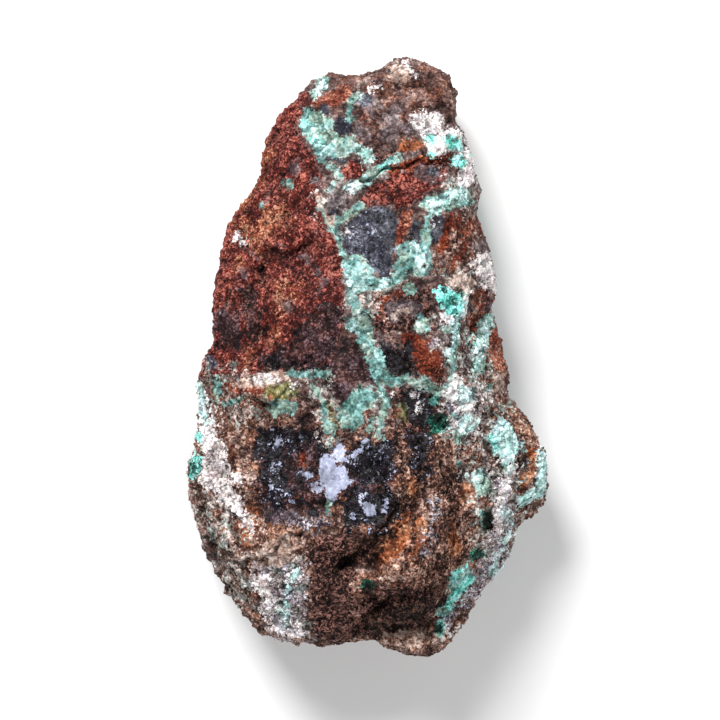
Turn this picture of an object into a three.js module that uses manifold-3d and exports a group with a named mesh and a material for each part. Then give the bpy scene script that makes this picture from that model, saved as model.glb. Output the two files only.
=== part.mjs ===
// Annabergite hand specimen: one broken lump of brown limonite rock with annabergite veins.
// It lies on its flat back with the veined face up.
// Millimetres, +Z up, +Y towards the narrow tip, origin under the middle of the stone.

import * as THREE from 'three';
import { mergeVertices } from 'three/addons/utils/BufferGeometryUtils.js';
import { ImprovedNoise } from 'three/addons/math/ImprovedNoise.js';
import Module from 'manifold-3d';

// Overall form: the middle and half sizes of the plan, and the height of the widest line
const plan = { centreX: -1, centreY: -6, halfWidth: 29, halfLength: 50 };
const rim = { height: 13, swing: 3, waves: 3 };
const edgeSharpness = { upper: 3.6, lower: 2.8 };
const faceBlend = 0.5;
const meshDetail = 21;
const poleShare = 0.45;
const outlineSamples = 720;

// Outline seen from above, counter-clockwise from the tip
const outlinePoints = [
  [5.8, 50.0], [2.4, 49.0], [-1.8, 47.3], [-6.8, 47.2], [-9.8, 46.0], [-16.1, 39.3],
  [-18.1, 34.3], [-18.8, 30.2], [-21.3, 26.0], [-24.4, 21.0], [-25.8, 14.3], [-26.6, 9.0],
  [-26.3, 2.7], [-28.4, -0.3], [-29.3, -4.8], [-29.1, -12.3], [-30.4, -19.0], [-30.1, -24.0],
  [-27.8, -32.3], [-24.1, -39.8], [-18.4, -45.7], [-14.4, -47.5], [-8.4, -48.2], [-3.4, -48.3],
  [0.3, -47.3], [2.9, -49.0], [8.4, -50.3], [12.8, -48.5], [14.9, -45.2], [18.3, -39.2],
  [22.6, -34.0], [25.3, -29.0], [28.8, -26.5], [30.1, -23.0], [29.4, -18.7], [28.1, -14.0],
  [25.6, -9.5], [23.1, -7.0], [22.9, -2.7], [20.4, 7.7], [21.3, 11.0], [19.9, 17.7],
  [17.8, 24.0], [18.6, 27.7], [16.6, 31.8], [16.1, 36.0], [14.4, 39.0], [14.4, 43.5],
  [12.8, 47.3], [8.6, 49.5],
];

// Fracture faces of the upper side: a point on each, and its rise for each millimetre along X and Y
const upperFaces = [
  { name: 'veined face', at: [3, 25, 27.5], rise: [0.04, -0.17] },
  { name: 'rust face', at: [-15, 14, 26], rise: [0.42, -0.12] },
  { name: 'belly', at: [0, -30, 34.5], rise: [0, 0.35] },
  { name: 'right flank', at: [16, 15, 26.5], rise: [-0.75, -0.05] },
  { name: 'lower left face', at: [-18, -38, 26], rise: [0.75, 0.35] },
  { name: 'lower right strip', at: [20, -33, 24], rise: [-0.85, 0.55] },
  { name: 'left belly', at: [-22, -18, 28], rise: [0.6, 0.05] },
  { name: 'right lobe', at: [20, -16, 27], rise: [-0.55, 0] },
];

// Fracture faces of the back, given in the same way
const lowerFaces = [
  { name: 'flat back', at: [0, 0, -2], rise: [0.01, -0.01] },
  { name: 'left back', at: [-20, 12, 1], rise: [-0.6, 0.5] },
  { name: 'right back', at: [18, -12, 1], rise: [0.9, -0.2] },
  { name: 'back of the tip', at: [4, 36, -2], rise: [0.35, 0.4] },
  { name: 'back of the foot', at: [-6, -38, 1], rise: [-0.4, -0.8] },
];

// Ledges: the ground on the right of each path drops within the run, and comes back up over the reach
const ledges = [
  { name: 'tip block', path: [[-7, 27.5], [1.5, 30.5], [10, 32.5], [18, 35]], drop: 2.6, run: 2, reach: 9 },
  { name: 'rust step', path: [[-16, 14.5], [-9, 19.5]], drop: 1.4, run: 2, reach: 5 },
  { name: 'brow', path: [[-28, -2], [-18, -5], [-11, -6.5], [-3, -5.5]], drop: 2, run: 3.2, reach: 9 },
  {
    name: 'foot', path: [[-13, -48], [-4, -43], [2, -41], [7, -38.5], [14, -34]],
    drop: 9, run: 4, reach: 14,
  },
];

// Grooves along paths, with their half width and depth
const grooves = [
  { name: 'rust crack', path: [[-19, 12.5], [-20, 9.5], [-20, 4]], width: 1.5, depth: 1.6 },
  { name: 'belly cut', path: [[4.5, -25], [2.5, -28.5], [0.5, -32], [-5, -33.5]], width: 1.6, depth: 2.2 },
  { name: 'lobe cut', path: [[25.5, -17.5], [24, -20.5], [23.5, -22.5]], width: 1.3, depth: 1.6 },
  { name: 'long wave', path: [[15, -19], [13, -24], [12, -30.5], [11.5, -36.5]], width: 1.5, depth: 1.2 },
  { name: 'short wave', path: [[7.5, -12], [7, -19], [8, -22.5]], width: 1.5, depth: 1.3 },
];

// Lumps, and hollows with a height below nothing: middle, half sizes and height
const lumps = [
  { name: 'tip knob', at: [5.5, 47.5], half: [3.5, 3], height: 1.8 },
  { name: 'right knob', at: [12, 42.5], half: [4, 6], height: 1.6 },
  { name: 'brown block', at: [15, 18.5], half: [5, 6.5], height: 2.0 },
  { name: 'dark clast', at: [0, 18.5], half: [4.5, 6], height: 0.7 },
  { name: 'orange clast', at: [9.5, -0.5], half: [4, 4.5], height: 1.2 },
  { name: 'purple clast', at: [-3, -3], half: [4.5, 6], height: 1.3 },
  { name: 'rust clast', at: [-20, -5.5], half: [5, 2.5], height: 1.0 },
  { name: 'dark recess', at: [6.5, -8], half: [4, 3.5], height: -2.2 },
  { name: 'black hollow', at: [-14.5, -15.5], half: [5.5, 4], height: -1.8 },
  { name: 'black gully', at: [-1, -21], half: [3.5, 6], height: -1.4 },
  { name: 'pale film', at: [-6.5, -19], half: [4, 5], height: 1.0 },
  { name: 'lobe', at: [25, -15], half: [4, 7], height: 1.6 },
  { name: 'orange block', at: [6, -31], half: [6, 6], height: 1.8 },
  { name: 'foot lump', at: [7.5, -48], half: [7, 3], height: 3.0 },
];

// Small open pits: middle and radius
const pits = [
  { name: 'emerald ring', at: [11, -10.5], radius: 1.3 },
  { name: 'dark emerald pit', at: [-0.5, -38], radius: 1.4 },
  { name: 'strip pit', at: [19.5, -27.5], radius: 1.3 },
  { name: 'grey pit', at: [-14.5, -38.5], radius: 1.0 },
];
const pitDetail = 3;

// Broken texture: the span and height of each layer of soft lumps
const roughLayers = [
  { span: 15, height: 1.3, seed: 3 },
  { span: 3.4, height: 0.6, seed: 41 },
];

// Shallow scoops left by chips that broke away: how many, their radius of curvature, how unevenly they are
// spread, tilted and sunk, the level that they are measured from and the most that they may add or take
const scoopPattern = { count: 240, radius: 8, scatter: 0.1, tilt: 0.25, offset: 0.5, seed: 11 };
const scoopMiddle = 0.9;
const scoopLimit = 1.3;
const scoopScale = { top: 0.6, side: 1.2 };
const topStart = { low: 0.4, high: 0.7 };
const rimRoughness = 0.25;
const rimBand = 0.7;
const rimStandOff = 0.4;
const wallSmoothing = 0.06;

const stoneColour = 0x6b4232;
const cutDepth = 40;
const cutWidth = 200;

const noise = new ImprovedNoise();
const wasm = await Module();
wasm.setup();

const rimCurve = new THREE.CatmullRomCurve3(
  outlinePoints.map(([x, y]) => new THREE.Vector3(x, y, 0)), true, 'centripetal',
);

// The outline as directions and distances from the plan's middle, in order of direction
const rimPolar = rimCurve.getSpacedPoints(outlineSamples).map((point) => {
  const x = point.x - plan.centreX;
  const y = point.y - plan.centreY;
  return { direction: Math.atan2(y, x), distance: Math.hypot(x, y) };
}).sort((first, second) => first.direction - second.direction);

// Distance from the plan's middle to the outline in one direction
function rimDistance(direction) {
  const next = rimPolar.findIndex((sample) => sample.direction >= direction);
  const after = rimPolar[next < 0 ? 0 : next];
  const before = rimPolar.at(next - 1);
  const gap = after.direction - before.direction;
  const share = gap > 0 ? (direction - before.direction) / gap : 0;
  return THREE.MathUtils.lerp(before.distance, after.distance, share);
}

// The same distance with the outline's small bays smoothed away, for the walls above and below the rim
function wallDistance(direction) {
  const turns = [-wallSmoothing, 0, wallSmoothing];
  return turns.reduce((sum, turn) => sum + rimDistance(wrapTurn(direction + turn)), 0) / turns.length;
}

function wrapTurn(direction) {
  return Math.atan2(Math.sin(direction), Math.cos(direction));
}

function rimLevel(direction) {
  return rim.height + rim.swing * Math.sin(rim.waves * direction + 1);
}

function faceLevel(face, x, y) {
  return face.at[2] + face.rise[0] * (x - face.at[0]) + face.rise[1] * (y - face.at[1]);
}

// Nearest point of a path: its distance, its side and how far along the path it is, from 0 to 1
function nearestOnPath(path, x, y) {
  let nearest = { distance: Infinity, onRight: false, along: 0 };
  for (let index = 0; index + 1 < path.length; index += 1) {
    const [startX, startY] = path[index];
    const stepX = path[index + 1][0] - startX;
    const stepY = path[index + 1][1] - startY;
    const reached = ((x - startX) * stepX + (y - startY) * stepY) / (stepX ** 2 + stepY ** 2);
    const share = THREE.MathUtils.clamp(reached, 0, 1);
    const awayX = x - startX - share * stepX;
    const awayY = y - startY - share * stepY;
    const distance = Math.hypot(awayX, awayY);
    if (distance < nearest.distance) {
      const onRight = stepX * awayY - stepY * awayX < 0;
      nearest = { distance, onRight, along: (index + share) / (path.length - 1) };
    }
  }
  return nearest;
}

function ledgeDrop(ledge, x, y) {
  const near = nearestOnPath(ledge.path, x, y);
  if (!near.onRight) {
    return 0;
  }
  const taper = Math.sqrt(Math.sin(Math.PI * near.along));
  const fall = THREE.MathUtils.smoothstep(near.distance, 0, ledge.run);
  return ledge.drop * taper * fall * Math.max(0, 1 - near.distance / ledge.reach);
}

function grooveDepth(groove, x, y) {
  const near = nearestOnPath(groove.path, x, y);
  return groove.depth * Math.exp(-((near.distance / groove.width) ** 2));
}

function lumpHeight(lump, x, y) {
  const across = (x - lump.at[0]) / lump.half[0];
  const along = (y - lump.at[1]) / lump.half[1];
  return lump.height * Math.exp(-((across ** 2 + along ** 2) ** 2));
}

function total(items, measure, x, y) {
  return items.reduce((sum, item) => sum + measure(item, x, y), 0);
}

// Highest of the faces at a place, or the lowest with a sign of -1, with their edges worn a little round
function wornLevel(faces, sign, x, y) {
  const sum = faces.reduce((part, face) => part + Math.exp(sign * faceLevel(face, x, y) / faceBlend), 0);
  return sign * faceBlend * Math.log(sum);
}

// Height of the upper side before its edge is rounded off
function upperLevel(x, y) {
  const cuts = total(ledges, ledgeDrop, x, y) + total(grooves, grooveDepth, x, y);
  return wornLevel(upperFaces, -1, x, y) - cuts + total(lumps, lumpHeight, x, y);
}

function lowerLevel(x, y) {
  return wornLevel(lowerFaces, 1, x, y);
}

function softBumps(point) {
  return roughLayers.reduce((sum, { span, height, seed }) => {
    const bump = noise.noise(point.x / span + seed, point.y / span, point.z / span);
    return sum + height * bump;
  }, 0);
}

// Unit direction moved away from the poles, so that the wide upper face gets its share of the corners
function evenOut(unit) {
  const fromPole = 1 - Math.abs(unit.z);
  const height = 1 - (poleShare * fromPole + (1 - poleShare) * fromPole ** 4);
  const level = Math.sqrt(1 - height ** 2);
  const turn = Math.atan2(unit.y, unit.x);
  return new THREE.Vector3(level * Math.cos(turn), level * Math.sin(turn), Math.sign(unit.z) * height);
}

// Point of the unbroken stone for one direction, and how far from the rim it is, from 0 to 1
function barePoint(unit) {
  const sharpness = unit.z > 0 ? edgeSharpness.upper : edgeSharpness.lower;
  const level = Math.hypot(unit.x, unit.y);
  const swell = (level ** sharpness + Math.abs(unit.z) ** sharpness) ** (-1 / sharpness);
  const direction = Math.atan2(unit.y * plan.halfLength, unit.x * plan.halfWidth);
  const share = Math.abs(unit.z) * swell;
  const fromRim = THREE.MathUtils.smoothstep(share, 0, rimBand);
  const reach = THREE.MathUtils.lerp(rimDistance(direction), wallDistance(direction), fromRim);
  const distance = level * swell * reach;
  const x = plan.centreX + distance * Math.cos(direction);
  const y = plan.centreY + distance * Math.sin(direction);
  const base = rimLevel(direction);
  const far = unit.z > 0 ? upperLevel(x, y) : lowerLevel(x, y);
  return { point: new THREE.Vector3(x, y, base + (far - base) * share), fromRim };
}

function spread(reach) {
  return THREE.MathUtils.lerp(-reach, reach, THREE.MathUtils.seededRandom());
}

function randomVector(reach) {
  return new THREE.Vector3(spread(reach), spread(reach), spread(reach));
}

// Directions spread evenly over the sphere, turned by the golden angle from one to the next
function evenDirection(index, count) {
  const goldenAngle = Math.PI * (3 - Math.sqrt(5));
  const height = 1 - (2 * index + 1) / count;
  return new THREE.Vector3().setFromSphericalCoords(1, Math.acos(height), goldenAngle * index);
}

function scatterScoops() {
  const { count, scatter, tilt, offset, seed } = scoopPattern;
  THREE.MathUtils.seededRandom(seed);
  return Array.from({ length: count }, (_, index) => ({
    place: barePoint(evenOut(evenDirection(index, count).add(randomVector(scatter)).normalize())).point,
    tilt: randomVector(tilt),
    offset: spread(offset),
  }));
}

const scoops = scatterScoops();

// Depth of the lowest scoop at a point: scoops meet in sharp ridges
function scoopLevel(point) {
  let lowest = Infinity;
  for (const { place, tilt, offset } of scoops) {
    const away = point.clone().sub(place);
    lowest = Math.min(lowest, offset + tilt.dot(away) + away.lengthSq() / (2 * scoopPattern.radius));
  }
  return scoopLimit * Math.tanh((lowest - scoopMiddle) / scoopLimit);
}

// Point of the broken stone for one direction of the unit sphere
function stonePoint(unit) {
  const { point, fromRim } = barePoint(unit);
  const onTop = THREE.MathUtils.smoothstep(unit.z, topStart.low, topStart.high);
  const scale = THREE.MathUtils.lerp(scoopScale.side, scoopScale.top, onTop);
  const calm = THREE.MathUtils.lerp(rimRoughness, 1, fromRim);
  const standOff = calm * (softBumps(point) + scale * scoopLevel(point));
  const mostOut = THREE.MathUtils.lerp(rimStandOff, Math.max(rimStandOff, standOff), onTop);
  return point.addScaledVector(unit, Math.min(standOff, mostOut));
}

function rawStone() {
  const geometry = new THREE.IcosahedronGeometry(1, meshDetail);
  const places = geometry.attributes.position;
  const unit = new THREE.Vector3();
  for (let index = 0; index < places.count; index += 1) {
    unit.fromBufferAttribute(places, index).normalize();
    const point = stonePoint(evenOut(unit));
    places.setXYZ(index, point.x, point.y, point.z);
  }
  return geometry;
}

// Ball that opens a pit, centred on the corner of the upper side nearest to it in plan
function pitBall(pit, stone) {
  const places = stone.attributes.position;
  const wanted = new THREE.Vector2(...pit.at);
  const nearest = new THREE.Vector3();
  const corner = new THREE.Vector3();
  let shortest = Infinity;
  for (let index = 0; index < places.count; index += 1) {
    corner.fromBufferAttribute(places, index);
    const distance = Math.hypot(corner.x - wanted.x, corner.y - wanted.y);
    if (corner.z > rim.height + rim.swing && distance < shortest) {
      nearest.copy(corner);
      shortest = distance;
    }
  }
  return new THREE.IcosahedronGeometry(pit.radius, pitDetail).translate(nearest.x, nearest.y, nearest.z);
}

function toSolid(geometry) {
  geometry.deleteAttribute('normal');
  geometry.deleteAttribute('uv');
  const merged = mergeVertices(geometry, 1e-4);
  return new wasm.Manifold(new wasm.Mesh({
    numProp: 3,
    vertProperties: merged.attributes.position.array,
    triVerts: new Uint32Array(merged.index.array),
  }));
}

function toGeometry(solid) {
  const mesh = solid.getMesh();
  const geometry = new THREE.BufferGeometry();
  geometry.setAttribute('position', new THREE.BufferAttribute(mesh.vertProperties, 3));
  geometry.setIndex(new THREE.BufferAttribute(mesh.triVerts, 1));
  return geometry;
}

// The stone, sawn flat by its resting face and with its pits opened, centred over the origin
function stoneGeometry() {
  const underside = new THREE.BoxGeometry(cutWidth, cutWidth, cutDepth).translate(0, 0, -cutDepth / 2);
  const stone = rawStone();
  const pitBalls = pits.map((pit) => pitBall(pit, stone));
  const rested = toSolid(stone).subtract(toSolid(underside));
  const pitted = pitBalls.reduce((solid, ball) => solid.subtract(toSolid(ball)), rested);
  const geometry = toGeometry(pitted);
  geometry.computeBoundingBox();
  const middle = geometry.boundingBox.getCenter(new THREE.Vector3());
  geometry.translate(-middle.x, -middle.y, 0);
  geometry.computeVertexNormals();
  return geometry;
}

const stoneMaterial = new THREE.MeshStandardMaterial({ color: stoneColour, roughness: 0.9, metalness: 0 });
const specimen = new THREE.Mesh(stoneGeometry(), stoneMaterial);
specimen.name = 'specimen';

const annabergite = new THREE.Group();
annabergite.add(specimen);

export default annabergite;
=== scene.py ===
import bmesh
import bpy
import numpy as np
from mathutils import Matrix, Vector, noise


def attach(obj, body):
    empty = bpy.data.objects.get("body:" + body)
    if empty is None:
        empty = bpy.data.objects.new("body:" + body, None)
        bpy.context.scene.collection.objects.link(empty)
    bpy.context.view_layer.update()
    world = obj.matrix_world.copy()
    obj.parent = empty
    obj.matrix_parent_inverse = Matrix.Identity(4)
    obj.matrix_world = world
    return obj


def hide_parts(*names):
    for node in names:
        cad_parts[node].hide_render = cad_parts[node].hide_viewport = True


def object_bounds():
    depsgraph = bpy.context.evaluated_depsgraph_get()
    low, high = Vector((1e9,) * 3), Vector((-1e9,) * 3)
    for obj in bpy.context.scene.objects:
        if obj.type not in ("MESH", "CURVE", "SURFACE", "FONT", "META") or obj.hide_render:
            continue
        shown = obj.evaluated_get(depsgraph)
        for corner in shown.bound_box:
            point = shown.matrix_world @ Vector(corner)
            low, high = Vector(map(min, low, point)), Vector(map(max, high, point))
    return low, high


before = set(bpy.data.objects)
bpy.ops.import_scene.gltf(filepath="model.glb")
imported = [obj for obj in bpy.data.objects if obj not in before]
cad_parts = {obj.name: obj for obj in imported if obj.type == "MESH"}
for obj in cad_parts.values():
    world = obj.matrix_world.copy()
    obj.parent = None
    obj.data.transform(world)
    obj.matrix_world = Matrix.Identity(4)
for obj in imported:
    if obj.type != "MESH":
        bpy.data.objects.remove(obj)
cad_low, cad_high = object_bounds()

# Looks of a specimen of annabergite: limonite rock grown through by pale green veins.
# The skin of the stone is the imported solid with finer relief. Minerals, painted shade and painted glints
# are areas marked on its upper face.

MM = 0.001
BOX_LOW = np.array(cad_low)
BOX_HIGH = np.array(cad_high)
NODE = "specimen"
BODY = "root"

# Camera of the photograph, looking straight down on the upper face
FRAME_PIXELS = 720
LENS = 85.0
SENSOR = 36.0
CAMERA_PLACE = (-1.75 * MM, -0.67 * MM, 294 * MM)
CLIP_START = 0.01
PIXELS_PER_MM = 6.0

# Lights, floor and surround
LIGHTS = {
    "key": dict(place=(-0.14, 0.30, 0.36), size=0.16, power=3.0),
    "fill": dict(place=(0.24, -0.26, 0.44), size=0.40, power=1.5),
}
LIGHT_AIM = (0, 0, 0.015)
SURROUND = 0.22
FLOOR_HALF = 1.5
FLOOR_GREY = 0.9
FLOOR_ROUGHNESS = 0.9

# Skin of the stone: how fine it is, how it is softened, its plain foot and the height of its rim
WELD_REACH = 0.001 * MM
VOXEL = 0.30 * MM
SKIN_TRIANGLES = 190000
SOFTEN_ROUNDS = 12
SOFTEN_STEPS = (0.6, -0.62)
EVEN_ROUNDS = 25
EVEN_STEPS = (0.5,)
FLAT_FOOT = 1.2 * MM
RIM_HEIGHT = 13 * MM

# Edge of the stone: the band inside the outline where it is drawn in, and how ragged that is
TRIM_BAND = 0.6 * MM
TRIM_STRAY = 0.5 * MM
TRIM_MIDDLE = 0.3
TRIM_SIZE = 1.8 * MM

# How the marked areas stray. Below the seen height slow waves move them, in pixels for each mm of drop,
# and by the hidden drop, in mm, chance takes over. Steep walls stray more: those with normals that point
# this little up. FAR is the furthest distance to an area that counts, in mm.
FAR = 6.0
SEEN_HEIGHT = RIM_HEIGHT + 2 * MM
WANDER_SIZE = 9 * MM
WANDER_PER_MM = 1.6
RAGGED_SIZE = 2.6 * MM
STEEP = (0.5, 0.1)
STEEP_STRAY = 3.0
HIDDEN_DROP = 7
UNSEEN_SIZE = 11 * MM

# How the cracks stray, and the heights between which they fade in
CRACK_SIZE = 2.0 * MM
CRACK_STRAY = 6.0
CRACK_HEIGHTS = (RIM_HEIGHT - 4 * MM, RIM_HEIGHT + 2 * MM)

# Where each noise starts, so that no two are alike, the numbers that scatter a hash,
# and how much weaker and finer each layer of a fractal noise is
STARTS = dict(wander=31.7, ragged=17.3, unseen=5.3, first_unseen=2, trim=4.4, bend=13.1, tilt=3.7, sink=21.0,
              bump=2, grain=1.9, breakup=9.4, streak=6.1, crack=23.9)
HASH_WEIGHTS = np.array([12.9898, 78.233, 37.719])
HASH_SCALE = 43758.5453
FRACTAL_FADE = 0.9
FRACTAL_STEP = 2.1

# Small relief in mm: size and height of the flat chips, of the soft bumps and of the grains
CHIPS = ((6.0, 0.55), (2.6, 0.36), (1.2, 0.16))
CHIP_BEND_SIZE = 0.7
CHIP_BEND = 0.25
CHIP_SINK = 0.5
BUMPS = ((4.0, 0.3), (0.9, 0.12))
GRAIN_SIZE = 0.75
GRAIN_HEIGHT = 0.2
GRAIN_MIDDLE = 0.45
BREAKUP_SIZE = 1.2
BREAKUP = 0.35
LEVEL_EDGE = 0.25
STREAK_RELIEF = 0.25
STREAK_STRETCH = np.array([0.9, 0.22, 0.6])
STREAK_EDGE = 1

# Rounds of averaging that find the small and the large hollows
HOLLOWS = {"hollow_small": 3, "hollow_large": 40}


def area(*corners):
    """A closed outline, in photograph pixels."""
    return ("area", np.array(corners, float))


def vein(width, *points):
    """A stroke of that width along the points, in photograph pixels."""
    return ("vein", width / 2, np.array(points, float))


def spot(x, y, across, down=None):
    """An oval with those half widths, in photograph pixels."""
    return ("spot", x, y, across, down or across)


# Outline of the stone in the photograph, from the tip down its left side and back up its right side
OUTLINE = area(
    (406, 55), (396, 58), (385, 66), (372, 71), (345, 74), (329, 71), (312, 79), (290, 103), (274, 119),
    (262, 150), (258, 175), (243, 200), (224, 230), (216, 270), (211, 302), (213, 340), (201, 358),
    (196, 385), (199, 410), (197, 430), (187, 471), (188, 500), (203, 552), (225, 594), (258, 634),
    (283, 642), (325, 647), (350, 644), (374, 640), (386, 649), (404, 655), (425, 658), (446, 649),
    (468, 620), (487, 588), (508, 560), (516, 536), (524, 521), (538, 512), (548, 500), (550, 484),
    (548, 465), (541, 440), (525, 411), (508, 398), (510, 372), (502, 340), (493, 310), (498, 290),
    (490, 250), (476, 213), (482, 190), (472, 161), (467, 139), (457, 121), (456, 104), (458, 92),
    (448, 72), (436, 67), (422, 61), (414, 57),
)
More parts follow.
